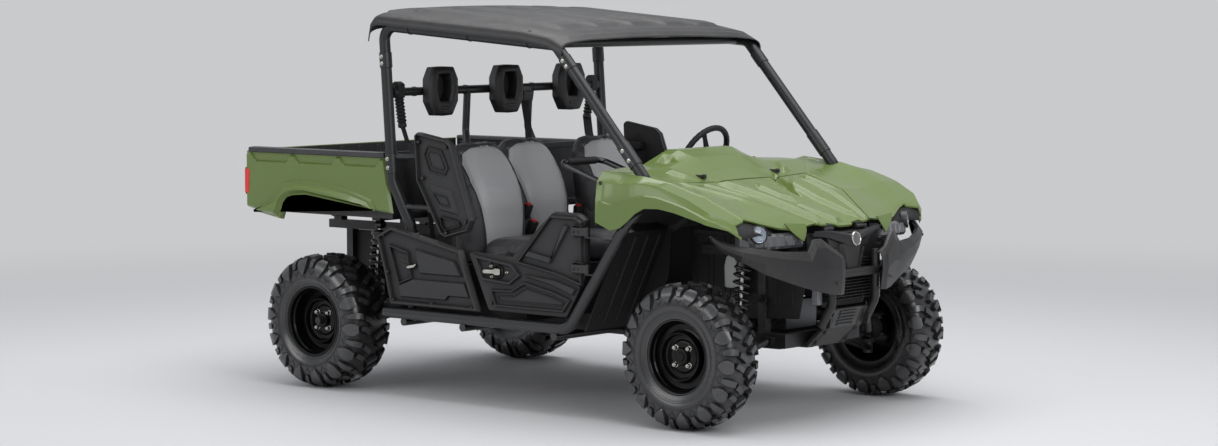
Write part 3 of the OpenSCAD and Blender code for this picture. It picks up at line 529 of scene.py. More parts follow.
# %% [markdown]
# ## The modelling bench
# Most pieces are one of four things: a bent tube, something turned on a lathe, a flat plate with
# raised and sunk fields, or a moulded skin over a grid of points. The bench is one small class that
# gathers such shapes as points and faces, and turns them into a finished piece that rides on a body.


# %% Small geometry helpers
def axes_for(direction):
    """Two directions square to the given one."""
    d = Vector(direction).normalized()
    side = Vector((0, 0, 1)) if abs(d.z) < 0.9 else Vector((0, 1, 0))
    u = side.cross(d).normalized()
    return u, d.cross(u)


def bent_path(points, bend, steps=7):
    """The line through the points with each corner rounded to the radius bend."""
    points = [Vector(p) for p in points]
    line = [points[0]]
    for a, b, c in zip(points, points[1:], points[2:]):
        u, w = (b - a).normalized(), (c - b).normalized()
        angle = u.angle(w, 0.0)
        if angle < 0.02:
            line.append(b)
            continue
        trim = min(bend * math.tan(angle / 2), (b - a).length * 0.49, (c - b).length * 0.49)
        radius = trim / math.tan(angle / 2)
        inward = u.cross(u.cross(w).normalized()) * -1
        centre = b - u * trim + inward * radius
        for k in range(steps + 1):
            t = angle * k / steps
            line.append(centre + radius * (-inward * math.cos(t) + u * math.sin(t)))
    line.append(points[-1])
    return line


def inset(outline, d):
    """The outline moved inwards by d; inwards is to the left when it runs anticlockwise."""
    n = len(outline)
    area = sum(outline[i][0] * outline[(i + 1) % n][1] - outline[(i + 1) % n][0] * outline[i][1]
               for i in range(n))
    side = 1 if area > 0 else -1
    moved = []
    for i in range(n):
        p0, p1, p2 = (Vector(outline[(i + k) % n]) for k in (-1, 0, 1))
        e0, e1 = (p1 - p0).normalized(), (p2 - p1).normalized()
        n0, n1 = (Vector((-e.y, e.x)) * side for e in (e0, e1))
        m = n0 + n1
        moved.append(tuple(p1 + m * (d / max(0.25, m.dot(n0)))))
    return moved


def rounded(outline, radius, steps=3):
    """The outline with each corner cut to an arc."""
    n, out = len(outline), []
    for i in range(n):
        a, b, c = (Vector(outline[(i + k) % n]) for k in (-1, 0, 1))
        u, w = (a - b), (c - b)
        t = min(radius, u.length * 0.45, w.length * 0.45)
        start, end = b + u.normalized() * t, b + w.normalized() * t
        for k in range(steps + 1):
            s = k / steps
            out.append(tuple(start * (1 - s) ** 2 + b * 2 * s * (1 - s) + end * s ** 2))
    return out


# Where a point of a flat outline goes, at a height h along each axis
FACING = {"y": lambda p, h: (p[0], h, p[1]), "x": lambda p, h: (h, p[0], p[1])}


class Shape:
    """Points and faces in millimetres, gathered from simple shapes, for one piece."""

    def __init__(self, side=1):
        self.points, self.faces, self.slots, self.paint, self.side = [], [], [], 0, side

    def add(self, points, faces):
        start = len(self.points)
        self.points += [Vector((p[0], p[1] * self.side, p[2])) for p in points]
        self.faces += [tuple(start + i for i in f) for f in faces]
        self.slots += [self.paint] * len(faces)
        return self

    def rings(self, rings, closed=False, caps=True, wrap=True):
        """A skin over rings of points, each ring with the same number of them."""
        n, m = len(rings), len(rings[0])
        faces = [(i * m + j, i * m + (j + 1) % m, (i + 1) % n * m + (j + 1) % m, (i + 1) % n * m + j)
                 for i in range(n if closed else n - 1) for j in range(m if wrap else m - 1)]
        if caps and not closed and wrap:
            faces += [tuple(range(m - 1, -1, -1)), tuple(range((n - 1) * m, n * m))]
        return self.add([p for ring in rings for p in ring], faces)

    def tube(self, points, radius, bend=0, sides=18, steps=7, closed=False):
        """A round tube along a path; radius is one number, or one for each point of the path."""
        line = bent_path(points, bend, steps) if bend else [Vector(p) for p in points]
        u, _ = axes_for(line[1] - line[0])
        rings = []
        for i, p in enumerate(line):
            ahead = line[(i + 1) % len(line)] if closed or i < len(line) - 1 else p
            behind = line[i - 1] if closed or i else p
            d = (ahead - behind).normalized()
            u = (u - d * u.dot(d)).normalized()
            v = d.cross(u)
            r = radius[i] if isinstance(radius, (list, tuple)) else radius
            rings.append([p + r * (u * math.cos(a) + v * math.sin(a))
                          for a in (2 * math.pi * k / sides for k in range(sides))])
        return self.rings(rings, closed=closed)

    def lathe(self, profile, centre, axis, sides=32, closed=False):
        """A profile of (radius, distance along the axis) turned about the axis."""
        u, v = axes_for(axis)
        d, c = Vector(axis).normalized(), Vector(centre)
        rings = [[c + d * h + r * (u * math.cos(a) + v * math.sin(a))
                  for a in (2 * math.pi * k / sides for k in range(sides))] for r, h in profile]
        return self.rings(rings, closed=closed, caps=not closed)

    def plate(self, outline, y0, y1, slope=0.0, axis="y"):
        """A plate with an outline in x and z, from y0 to y1, its face at y1 smaller by the slope."""
        top = inset(outline, slope) if slope else outline
        return self.rings([[FACING[axis](p, h) for p in loop] for loop, h in ((outline, y0), (top, y1))])

    def band(self, outline, width, y0, y1, slope=2.0, axis="y"):
        """A raised border of a given width round the inside of an outline."""
        loops = [(outline, y0), (inset(outline, slope), y1), (inset(outline, width - slope), y1),
                 (inset(outline, width), y0)]
        return self.rings([[FACING[axis](p, h) for p in loop] for loop, h in loops], closed=True, caps=False)

    def box(self, low, high):
        (x0, y0, z0), (x1, y1, z1) = low, high
        return self.rings([[(x0, y0, z), (x1, y0, z), (x1, y1, z), (x0, y1, z)] for z in (z0, z1)])

    def bolt(self, at, axis, r=7.0, h=5.0):
        """A hexagon head on a round washer."""
        d, at = Vector(axis).normalized(), Vector(at)
        self.lathe([(r * 1.45, 0), (r * 1.45, 1.2), (r * 1.2, 1.8)], at, d, 18)
        return self.lathe([(r, 1.5), (r, h * 0.8), (r * 0.82, h)], at, d, 6)

    def stud(self, at, axis, r=7.0, h=4.0):
        """A round push-in fastener with a domed head."""
        return self.lathe([(r, 0), (r, h * 0.4), (r * 0.7, h * 0.85), (r * 0.2, h)], at, axis, 16)

    def deepen(self, face, reach, times):
        """Makes the levels just under a face deeper, without moving the face or the back."""
        for p in self.points:
            under = face - abs(p.y)
            if 0 < under <= reach:
                p.y = math.copysign(face - under * times, p.y)
        return self

    def piece(self, name, body, *paints, replaces=(), slot=None, bevel=0.0, smooth=32, solid=0.0,
              bevel_steps=2):
        """Makes the Blender object, in metres, gives it its finishes and lets it ride on its body."""
        mesh = bpy.data.meshes.new(name)
        mesh.from_pydata([p * MM for p in self.points], [], self.faces)
        for paint in paints:
            mesh.materials.append(paint)
        mesh.polygons.foreach_set("material_index", self.slots)
        loose = bmesh.new()
        loose.from_mesh(mesh)
        bmesh.ops.remove_doubles(loose, verts=loose.verts, dist=0.00002)
        bmesh.ops.recalc_face_normals(loose, faces=loose.faces)
        loose.to_mesh(mesh)
        loose.free()
        obj = bpy.data.objects.new(name, mesh)
        bpy.context.scene.collection.objects.link(obj)
        if solid:
            shell = obj.modifiers.new("thickness", "SOLIDIFY")
            shell.thickness, shell.offset = solid * MM, -1
        if bevel:
            edge = obj.modifiers.new("rounded_edges", "BEVEL")
            edge.width, edge.segments, edge.limit_method = bevel * MM, bevel_steps, "ANGLE"
            edge.angle_limit = math.radians(28)
        mesh.shade_smooth()
        mesh.set_sharp_from_angle(angle=math.radians(smooth))
        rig.ride(obj, body)
        if replaces:
            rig.replaces(obj, *replaces)
        if slot:
            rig.slot(obj, slot)
        return obj


print("bench ready")

# %% [markdown]
# ## Tyres
# A mud tyre is a smooth carcass with tall rubber lugs set on it in a chevron. The carcass is one turned
# profile. A lug is a short bar that starts near the middle of the tread, swings outwards and wraps over
# the shoulder, so each is drawn in the tread's own flat coordinates (how far round, and how far from the
# middle along the profile) and then bent round the tyre. That keeps every lug seated on the rubber.

# %% Tyre
TREAD_H = 16.0
PITCHES = 14
# One pitch of the tread on one side: (how far round, how far out, half width) along each lug, and the
# share of its height left at its outer end
LUGS = [
    ([(0, 5, 10), (10, 18, 10.5), (22, 32, 11), (29, 45, 11)], 1.0),
    ([(-36, 24, 9.5), (-27, 38, 10.5), (-18, 52, 11), (-14, 63, 10)], 1.0),
    ([(38, 56, 12), (42, 70, 13), (44, 84, 13.5), (45, 98, 12.5), (45, 112, 9)], 0.4),
    ([(-18, 76, 16), (-19, 86, 27), (-20, 98, 31), (-20, 110, 29), (-20, 122, 21), (-20, 134, 9),
      (-20, 140, 3)], 0.22),
]


class Tyre:
    """A tyre about the y axis; its outer side faces away from the vehicle."""

    def __init__(self, width, radius=308.0, bead=161.0):
        self.crown, self.half = radius - TREAD_H, width / 2
        h, c = self.half, self.crown
        self.profile = [(c, 0), (c - 1, h * 0.35), (c - 5, h * 0.62), (c - 14, h * 0.80), (c - 30, h * 0.93),
                        (c - 52, h * 0.985), (c - 74, h), (bead + 34, h * 0.975), (bead + 20, h * 0.90),
                        (bead + 12, h * 0.86)]
        self.lengths = [0.0]
        for (r0, y0), (r1, y1) in zip(self.profile, self.profile[1:]):
            self.lengths.append(self.lengths[-1] + math.hypot(r1 - r0, y1 - y0))

    def at(self, round_mm, s, height):
        """The point at a distance round the crown, s along the profile, and a height above the rubber."""
        side, s = (1 if s >= 0 else -1), min(abs(s), self.lengths[-1] - 0.01)
        k = max(i for i, v in enumerate(self.lengths) if v <= s)
        t = (s - self.lengths[k]) / (self.lengths[k + 1] - self.lengths[k])
        (r0, y0), (r1, y1) = self.profile[k], self.profile[k + 1]
        out = Vector((y1 - y0, -(r1 - r0))).normalized()
        r, y = r0 + (r1 - r0) * t + out.x * height, y0 + (y1 - y0) * t + out.y * height
        angle = round_mm / self.crown
        return Vector((math.sin(angle) * r, side * y, math.cos(angle) * r))

    def lug(self, shape, line, rise):
        """A bar along line = (round, s, half width); its outer end is rise times the tread's height."""
        rings = []
        for i, (u, s, w) in enumerate(line):
            du, ds = (Vector(line[min(i + 1, len(line) - 1)][:2])
                      - Vector(line[max(i - 1, 0)][:2])).normalized()
            h = TREAD_H * (1 + (rise - 1) * max(0.0, (i - 1) / (len(line) - 2)) ** 1.5)
            foot, top = w + 2.2, w
            rings.append([self.at(u - ds * side * width, s + du * side * width, height)
                          for side, width, height in ((-1, foot, -1.5), (-1, top, h), (1, top, h),
                                                      (1, foot, -1.5))])
        shape.rings(rings)


def make_tyre(name, body, node_name, x, y, width):
    tyre, shape, out = Tyre(width), Shape(), (1 if y > 0 else -1)
    sides = 96
    half = tyre.profile + [(161 - 8, tyre.half * 0.86 - 4)]
    section = [(r, -h) for r, h in reversed(half[1:])] + half
    rings = []
    for k in range(sides):
        a = 2 * math.pi * k / sides
        rings.append([(math.sin(a) * r, h, math.cos(a) * r) for r, h in section])
    shape.rings(rings, closed=True, caps=False)
    step = 2 * math.pi * tyre.crown / PITCHES
    w = tyre.half / 101.5
    for k in range(PITCHES):
        for side in (-1, 1):
            u0 = step * (k + (0.5 if side > 0 else 0.0))
            for line, rise in LUGS:
                tyre.lug(shape, [(u0 - u, side * s * w, width) for u, s, width in line], rise)
            for du, tip in ((-45, 140), (20, 152)):
                for tilt in (-1, 1):
                    shape.rings([[tyre.at(u0 + du + tilt * reach + e, side * (tip - 0.95 * reach) * w, hgt)
                                  for e, hgt in ((-3, -0.5), (-1.8, 2.4), (1.8, 2.4), (3, -0.5))]
                                 for reach in (0.0, 9.0, 18.0)])
    for side in (-1, 1):
        for s in (146, 152, 178):
            ring = [[tyre.at(2 * math.pi * tyre.crown * k / sides, side * (s * w + e), hgt)
                     for e, hgt in ((-1.6, -0.5), (-0.8, 1.4), (0.8, 1.4), (1.6, -0.5))]
                    for k in range(sides)]
            shape.rings(ring, closed=True, caps=False)
    shape.points = [Vector((x + p.x, y + p.y * out, AXLE_Z + p.z)) for p in shape.points]
    return shape.piece(name, body, tyre_rubber, replaces=[node_name], slot="tyre_rubber", smooth=38)


# %% [markdown]
# ## Wheels
# The wheel is pressed steel: a rolled lip, a stepped barrel, and a deep dish with a raised ring, small
# holes and four bright nuts round a black cap. All of it is turned, apart from the nuts and the holes'
# dark plugs.


# %% Wheel
def make_rim(name, body, node_name, x, y, width, face):
    shape, out = Shape(), Vector((0, 1 if y > 0 else -1, 0))
    centre = Vector((x, y, AXLE_Z))
    h = width / 2 - 18
    front = [(152.7, -h), (152.7, h - 8), (161, h - 5), (163, h - 2), (162, h + 1), (157, h + 1.5),
             (153, h - 1),
             (149, h - 6), (147, h - 24), (142, h - 30), (140, face - 26), (134, face - 33), (114, face - 34),
             (106, face - 30), (102, face - 4), (100, face), (97, face), (95, face - 4), (93, face - 24),
             (86, face - 30), (72, face - 30), (66, face - 24), (62, face - 22), (38, face - 22),
             (38, face - 26)]
    behind = [(38, 12), (60, 12), (90, 12), (126, face - 42), (137, face - 38), (145, face - 40),
              (145, -h + 4)]
    shape.lathe([(r, d) for r, d in front + behind], centre, out, 72, closed=True)
    shape.lathe([(36, 12), (36, face - 12), (33, face - 6), (30, face - 5), (28, face - 7), (20, face - 7),
                 (18, face - 2), (6, face - 1)], centre, out, 40)
    for k in range(12):
        a = math.radians(15 + 30 * k)
        at = centre + Vector((math.cos(a) * 124, 0, math.sin(a) * 124)) + out * face
        shape.lathe([(6.5, -36), (6.5, -33.2), (5, -32.6), (4.2, -34.5), (2, -34.6)], at, out, 14)
    shape.paint = 1
    for k in range(4):
        a = math.radians(45 + 90 * k)
        at = centre + Vector((math.cos(a) * 50, 0, math.sin(a) * 50)) + out * (face - 62)
        shape.lathe([(12, 39.5), (13, 41), (11.5, 43)], at, out, 20)
        shape.lathe([(10.4, 42), (10.4, 54), (9, 57), (7, 57.5)], at, out, 6)
        shape.lathe([(5.6, 57), (5.6, 61), (4.8, 62)], at, out, 14)
    return shape.piece(name, body, wheel_paint, zinc, replaces=[node_name], slot="wheel_steel", bevel=0.8,
                       smooth=40)


WHEELS = [("front", "right", fx(0), -683.5, 203.0), ("front", "left", fx(0), 683.5, 203.0),
          ("rear", "right", rx(0), -680.0, 250.0), ("rear", "left", rx(0), 680.0, 250.0)]
for end, hand, wheel_x, wheel_y, tyre_w in WHEELS:
    body_name = f"{end}_{hand}_wheel"
    made_tyre = make_tyre(f"{end}_{hand}_mud_tyre", body_name, f"{end}_tyre_{hand}", wheel_x, wheel_y, tyre_w)
    make_rim(f"{end}_{hand}_steel_wheel", body_name, f"{end}_rim_{hand}", wheel_x, wheel_y, tyre_w,
             face=68.0 if end == "front" else 52.0)
print("tyre faces:", len(made_tyre.data.polygons))

# %% [markdown]
# # Green panels
# The hood and cowl are one surface cut at the hood's rear edge: a flat-topped pod that narrows forwards,
# then a centre valley between two raised wings. Each facet is a raised or lowered outline with a sloping
# border. The fenders are sections along the body from the wheel arch's lip over a crest to the seam.

# %% Heights of the middle panels
def along(x, table):
    """Straight lines between the (place, value) pairs of a table."""
    if x <= table[0][0]:
        return table[0][1]
    for (x0, v0), (x1, v1) in zip(table, table[1:]):
        if x <= x1:
            return v0 + (v1 - v0) * (x - x0) / (x1 - x0)
    return table[-1][1]


def to_edge(p, a, b):
    """Distance from a point to the straight edge between two others."""
    dx, dy = b[0] - a[0], b[1] - a[1]
    t = max(0.0, min(1.0, ((p[0] - a[0]) * dx + (p[1] - a[1]) * dy) / (dx * dx + dy * dy)))
    return math.hypot(p[0] - a[0] - t * dx, p[1] - a[1] - t * dy)


def inside_by(p, outline):
    """How far a point is inside an outline; 0 when it is outside."""
    x, y = p
    hit, near = False, 1e9
    for (x0, y0), (x1, y1) in zip(outline, outline[1:] + outline[:1]):
        if (y0 > y) != (y1 > y) and x < (x1 - x0) * (y - y0) / (y1 - y0) + x0:
            hit = not hit
        near = min(near, to_edge(p, (x0, y0), (x1, y1)))
    return near if hit else 0.0


def relief(p, facets):
    """Height added at a point by raised and lowered outlines."""
    return sum(h * min(1.0, inside_by(p, outline) / ramp) for outline, h, ramp in facets)


HOOD_REAR, HOOD_FRONT = fx(-220), fx(295)
SEAM_Y = [(fx(-505), 640), (fx(-385), 640), (HOOD_REAR, 430), (fx(45), 340), (HOOD_FRONT, 192)]
SEAM_Z = [(fx(-505), 1054), (fx(-385), 1050), (HOOD_REAR, 1003), (fx(45), 945), (HOOD_FRONT, 838)]
POD_Z = [(600, 1127), (650, 1126), (720, 1094), (805, 1038), (885, 998), (960, 962), (1150, 908), (1300, 862),
         (1400, 824)]
POD_Y = [(600, 205), (720, 165), (800, 86), (885, 6), (960, 30), (1150, 52), (1320, 46), (1400, 30)]
SHOULDER_Y = [(600, 372), (720, 345), (800, 305), (885, 252), (1150, 205), (1400, 128)]
SHOULDER_Z = [(600, 1068), (720, 1060), (800, 1026), (885, 996), (960, 988), (1150, 936), (1300, 878),
              (1400, 834)]
# Raised (+) and lowered (-) facets on one half, as outlines in x and y
FACETS = [
    ([(612, 250), (662, 236), (706, 262), (690, 318), (640, 330)], -18, 24),
    ([(742, 372), (806, 326), (868, 296), (838, 380), (760, 420)], 16, 22),
    ([(846, 246), (880, 166), (990, 104), (1130, 78), (1010, 156), (920, 212)], -23, 20),
    ([(905, 262), (1000, 250), (1170, 212), (1300, 176), (1382, 140), (1330, 104), (1160, 106), (1000, 150)],
     15, 18),
    ([(900, 300), (1010, 288), (1180, 262), (1396, 184), (1396, 160), (1180, 228), (1010, 258)], 14, 14),
    ([(905, 400), (980, 384), (1120, 336), (1120, 306), (980, 326), (905, 330)], -18, 20),
    ([(1180, 66), (1290, 58), (1380, 24), (1380, -24), (1290, -58), (1180, -66)], 16, 18),
    ([(925, 0), (960, 30), (1090, 42), (1160, 0), (1090, -42), (960, -30)], 16, 18)]


def middle_z(x, y):
    """Height of the cowl and hood."""
    y = abs(y)
    pod, shoulder, seam = along(x, POD_Y), along(x, SHOULDER_Y), along(x, SEAM_Y)
    z = along(y, [(pod, along(x, POD_Z)), (shoulder, along(x, SHOULDER_Z)), (seam, along(x, SEAM_Z))])
    return z + relief((x, y), FACETS)


def middle_panel(name, body, x0, x1, gap, node_name, front=None):
    """A thin shell over the middle of the nose between two places, turned down at its edges."""
    shape, rows = Shape(), []
    across = 150
    steps = int((x1 - x0) / 4)
    for i in range(steps + 1):
        row = []
        for j in range(across + 1):
            f = -1 + 2 * j / across
            end = x1 + (front(abs(f)) if front else 0)
            x = x0 + (end - x0) * i / steps
            y = f * (along(x, SEAM_Y) - gap)
            row.append((x, y, middle_z(x, y)))
        row = [(row[0][0], row[0][1], row[0][2] - 9)] + row + [(row[-1][0], row[-1][1], row[-1][2] - 9)]
        rows.append(row)
    rows = [[(p[0], p[1], p[2] - 9) for p in rows[0]]] + rows + [[(p[0], p[1], p[2] - 9) for p in rows[-1]]]
    shape.rings(rows, caps=False, wrap=False)
    return shape.piece(name, body, olive, replaces=(node_name,), slot="green_plastic", smooth=60, solid=3.0)


# %% Hood and cowl
hood_lip = [(0.0, 6), (0.28, 4), (0.34, -12), (0.62, -14), (0.7, 2), (0.86, 2), (1.0, -10)]
hood_piece = middle_panel("hood_panel", "hood_lid", HOOD_REAR, HOOD_FRONT, 5, "hood",
                          lambda f: along(f, hood_lip))
middle_panel("cowl_panel", "chassis", fx(-505), HOOD_REAR - 8, 0.6, "cowl")
for side, hand in SIDES:
    latch = Shape(side)
    top = middle_z(820, 263) + 1
    latch.rings([[(x, 263 + h, top + (r - 8) * 0.2 + z) for h, z in ((-r, -4), (-r * 0.7, 5), (r * 0.7, 5),
                                                                     (r, -4))]
                 for x, r in ((790, 7), (812, 9), (842, 10), (848, 8))])
    latch.lathe([(11, -6), (11, 8), (8, 12)], (850, 263, top - 3), (0, 0, 1), 20)
    latch.piece(f"hood_latch_{hand}", "chassis", rubber, bevel=1.5)
hinge = Shape()
for y in (-110, 110):
    hinge.lathe([(3, -25), (9, -25), (9, 25), (3, 25)], (HOOD_FRONT, y, 812), (0, 1, 0), 24, closed=True)
    hinge.box((HOOD_FRONT - 9, y - 22, 814), (HOOD_FRONT - 2, y + 22, 832))
hinge.piece("hood_hinge_barrels", "hood_lid", iron, bevel=0.8)
print("hood", len(hood_piece.data.vertices), "points")

# %% Front fenders
side_y = BODY_Y + 22
CREST_Y = [(fx(-438), side_y - 60), (fx(-225), side_y - 75), (fx(-5), side_y - 115), (fx(195), side_y - 180),
           (fx(280), side_y - 220)]
CREST_Z = [(fx(-438), 1061), (fx(-225), 1042), (fx(-105), 1020), (fx(45), 968), (fx(195), 884),
           (fx(280), 806)]
LIP_Y = [(fx(-438), side_y), (fx(-255), side_y + 10), (fx(0), side_y + 10), (fx(145), side_y - 5),
         (fx(215), side_y - 70), (fx(280), side_y - 170)]
LIP_Z = [(fx(-438), 846), (fx(-352), 815), (fx(-300), 828), (fx(-259), 856), (fx(-215), 892), (fx(-167), 916),
         (fx(-90), 918), (fx(-5), 905), (fx(122), 870), (fx(215), 836), (fx(280), 762)]


def fender_section(x):
    """Points from the lip's turned-in edge over the crest to the seam, as (y, z)."""
    ly, lz, cy, cz = along(x, LIP_Y), along(x, LIP_Z), along(x, CREST_Y), along(x, CREST_Z)
    sy, sz = along(x, SEAM_Y), along(x, SEAM_Z)
    fade = min(1.0, max(0.0, (fx(262) - x) / 90.0)) * min(1.0, max(0.0, (x - fx(-438)) / 70.0))
    mid, low = cz - (cz - lz) * 0.2, cz - (cz - lz) * 0.56
    points = [(ly - 14, lz + 2), (ly - 4, lz - 1), (ly, lz), (ly + 1, lz + 9), (ly - 1, low),
              (ly - 2 - 7 * fade, low + 5), (ly - 13 - 4 * fade, mid), (ly - 21, mid + 8), (cy + 9, cz - 4),
              (cy + 3, cz), (cy - 5, cz)]
    # Shallow step, a broad inner face with a blade-shaped recess, and the raised edge beside the seam
    span = cy - 5 - sy
    blade = fade * along(x, [(fx(-240), 0), (fx(-150), 1), (fx(60), 0.6), (fx(150), 0)])
    for share, drop in ((0.12, 3 * fade), (0.2, 9 * fade), (0.4, 10 * fade), (0.52, 9 * fade + 2 * blade),
                        (0.58, 9 * blade + 6 * fade), (0.74, 7 * blade + 3 * fade), (0.78, 0),
                        (0.93, -3 * fade), (0.97, -2 * fade), (1.0, 0)):
        points.append((cy - 5 - span * share, cz + (sz - cz) * share - drop))
    return points + [(sy + 0.2, sz - 9)]


# Where each line of points ends at the front: the outer side, a cut over the round lamp, then the beak
FENDER_ENDS = [242, 242, 242, 241, 238, 236, 230, 224, 208, 204, 203, 214, 224, 262, 276, 279, 283, 285, 285,
               285, 285, 285]
for side, hand in SIDES:
    beak = Shape(side)
    beak.rings([[(x0 - 8, y0, z), (x0, y0, z), (x1, y1, z1), (x1 - 8, y1, z1)]
                for x0, y0, z, x1, y1, z1 in ((1376, 392, 853, 1388, 262, 845),
                                              (1390, 368, 822, 1400, 268, 820),
                                              (1400, 336, 796, 1407, 282, 796),
                                              (1408, 305, 774, 1409, 296, 774))])
    beak.piece(f"fender_beak_{hand}", "chassis", olive, slot="green_plastic", bevel=1.5)
    fender = Shape(side)
    first, rows = fx(-438), []
    for i in range(111):
        row = []
        for j, end in enumerate(FENDER_ENDS):
            x = first + (fx(end) - first) * i / 110
            row.append((x, *fender_section(x)[j]))
        rows.append(row)
    rows = [[(p[0], p[1] - 3, p[2] - 10) for p in rows[0]]] + rows + [[(p[0] - 2, p[1] - 3, p[2] - 8)
                                                                       for p in rows[-1]]]
    fender.rings(rows, caps=False, wrap=False)
    fender.piece(f"front_fender_{hand}", "chassis", olive, slot="green_plastic", smooth=26, solid=3.0,
                 replaces=("front_fenders",) if side < 0 else ())
    # Push-in fasteners down the fender's rear edge
    fasteners = Shape(side)
    for x, z in ((fx(-418), 1012), (fx(-418), 960), (fx(-418), 908), (fx(-405), 868)):
        fasteners.stud((x, along(x, LIP_Y) - 9 + (3 if z < 930 else -4), z), (0, 1, 0), 9, 5)
    fasteners.piece(f"fender_fasteners_{hand}", "chassis", black_plastic, bevel=0.6)
print("fenders made")

# %% [markdown]
# # Doors, side panels and shoulder guards
# Moulded black plastic: a base plate with its edge rounded over, raised borders, sloping fields and
# recesses laid on it as separate levels, and the hardware on top. The left side mirrors the right one.

# %% Side plastics
def make_door(side, hand):
    door, face = Shape(side), BODY_Y
    outline = rounded([(rx(1055), 424), (fx(-625), 424), (fx(-578), 500), (fx(-519), 600), (fx(-519), 850),
                       (fx(-565), 874), (fx(-706), 876), (fx(-949), 665), (rx(938), 677)], 12)
    door.plate(outline, face - 42, face - 9, 0)
    door.plate(outline, face - 9, face - 4, 5)
    # Upper panel: a raised border, and a bevelled strip along the front and lower edges inside it
    upper = [(rx(1222), 644), (fx(-716), 862), (fx(-572), 860), (fx(-534), 842), (fx(-534), 566),
             (fx(-694), 608)]
    door.band(upper, 15, face - 5, face, 5)
    door.plate([(rx(1270), 676), (rx(1420), 652), (fx(-606), 818), (fx(-640), 826), (fx(-706), 682),
                (rx(1296), 704)],
               face - 5, face - 0.5, 5)
    # Crease from the left point down to the right
    door.plate([(rx(1268), 602), (rx(1274), 586), (fx(-700), 556), (fx(-586), 520), (fx(-562), 556),
                (fx(-690), 588)],
               face - 5, face, 8)
    # Lower sunk field with its border
    lower = [(rx(1070), 522), (rx(1100), 446), (fx(-640), 446), (fx(-596), 504), (fx(-700), 536),
             (rx(1272), 566), (rx(1196), 526)]
    door.band(lower, 13, face - 5, face - 0.5, 4)
    door.band(inset(lower, 26), 6, face - 5, face - 2.5, 2)
    # Raised border round the latch's pocket
    pod = [(rx(974), 668), (rx(1024), 558), (rx(1188), 546), (rx(1252), 590), (rx(1200), 640)]
    door.band(pod, 15, face - 5, face + 0.5, 4)
    door.lathe([(30, 0), (30, 2.5), (27, 4), (24, 2.5), (24, 0)], (rx(1118), face - 4.5, 600), (0, 1, 0), 32)
    for z in (643, 801):
        six = [(fx(-596), z), (fx(-580), z + 26), (fx(-530), z + 26), (fx(-522), z), (fx(-530), z - 26),
               (fx(-580), z - 26)]
        door.band(six, 6, face - 5, face, 2)
    door.paint = 1
    door.rings([[(x, face + y, z + h) for y, h in ((-4.6, -s), (1, -s * 0.8), (3, 0), (1, s * 0.8),
                                                   (-4.6, s))]
                for x, z, s in ((rx(1036), 598, 8), (rx(1050), 598, 10), (rx(1096), 600, 10),
                                (rx(1104), 600, 17), (rx(1128), 600, 17), (rx(1136), 600, 10))])
    for x, z in ((rx(1076), 622), (rx(1168), 600), (rx(1080), 576)):
        door.bolt((x, face - 4.4, z), (0, 1, 0), 5, 4)
    door.paint = 0
    for x, z in ((rx(1075), 640), (fx(-562), 640), (fx(-562), 470), (fx(-552), 560), (rx(1080), 462)):
        door.stud((x, face - 4, z), (0, 1, 0), 7, 4)
    door.deepen(face, 9.5, 2.9)
    return door.piece(f"door_panel_{hand}", f"{hand}_door", black_plastic, zinc, slot="black_plastic",
                      bevel=2.2, smooth=34)


def make_hinges(side, hand):
    iron_work = Shape(side)
    for z in (643, 801):
        base = z - 21 + 0.3
        iron_work.lathe([(6.1, 0), (11, 0), (11, 38), (6.1, 38)], (fx(-499), BODY_Y + 2, base), (0, 0, 1), 28,
                        closed=True)
        iron_work.rings([[(x, y, h) for y, h in ((BODY_Y - 12, base + 2), (t, base + 2), (t, base + 36),
                                                  (BODY_Y - 12, base + 36))]
                         for x, t in ((fx(-588), BODY_Y + 3), (fx(-540), BODY_Y + 7),
                                      (fx(-508), BODY_Y + 8))])
        iron_work.paint = 1
        for x in (fx(-574), fx(-548)):
            iron_work.bolt((x, BODY_Y + 5, z - 2), (0, 1, 0), 5.5, 5)
        iron_work.paint = 0
    return iron_work.piece(f"door_hinges_{hand}", f"{hand}_door", bar_paint, black_plastic, bevel=0.9)


def make_side_panel(side, hand):
    panel, face = Shape(side), BODY_Y - 2
    outline = [(rx(890), 683), (rx(470), 768), (rx(375), 723), (rx(425), 560), (rx(462), 414),
               (rx(1000), 414)]
    intake = [(rx(470), 668), (rx(560), 648), (rx(580), 545), (rx(520), 524)]
    base = rounded(outline, 10)
    panel.plate(base, face - 30, face - 10, 0)
    panel.plate(base, face - 10, face - 6, 4)
    panel.band(outline, 22, face - 7, face, 6)
    # Bare sloping field, a stepped lower edge and the intake's raised border
    panel.plate([(rx(610), 676), (rx(858), 634), (rx(905), 560), (rx(640), 560)], face - 7, face - 1, 9)
    panel.plate([(rx(600), 540), (rx(916), 540), (rx(950), 470), (rx(820), 470), (rx(800), 450),
                 (rx(520), 450), (rx(508), 506)], face - 7, face - 2, 7)
    panel.band(inset(intake, -14), 12, face - 7, face - 1, 4)
    for k in range(5):
        z = 556 + 22 * k
        panel.plate([(rx(508), z), (rx(566), z - 8), (rx(568), z - 2), (rx(508), z + 6)],
                    face - 9, face - 5, 1)
    panel.paint = 1
    panel.rings([[(x, face + y, z + h) for y, h in ((-2, -s), (3, -s * 0.7), (4, s * 0.7), (-2, s))]
                 for x, z, s in ((rx(574), 588, 5), (rx(584), 590, 8), (rx(616), 596, 7), (rx(628), 604, 4))])
    panel.paint = 0
    for x, z in ((rx(420), 726), (rx(446), 560), (rx(480), 436), (rx(720), 432), (rx(960), 432),
                 (rx(872), 660)):
        panel.stud((x, face - 3, z), (0, 1, 0), 7, 4)
    panel.deepen(face, 10.5, 2.6)
    return panel.piece(f"side_panel_{hand}", "chassis", black_plastic, zinc, slot="black_plastic", bevel=2.2,
                       smooth=34, replaces=("side_panels",) if side < 0 else ())


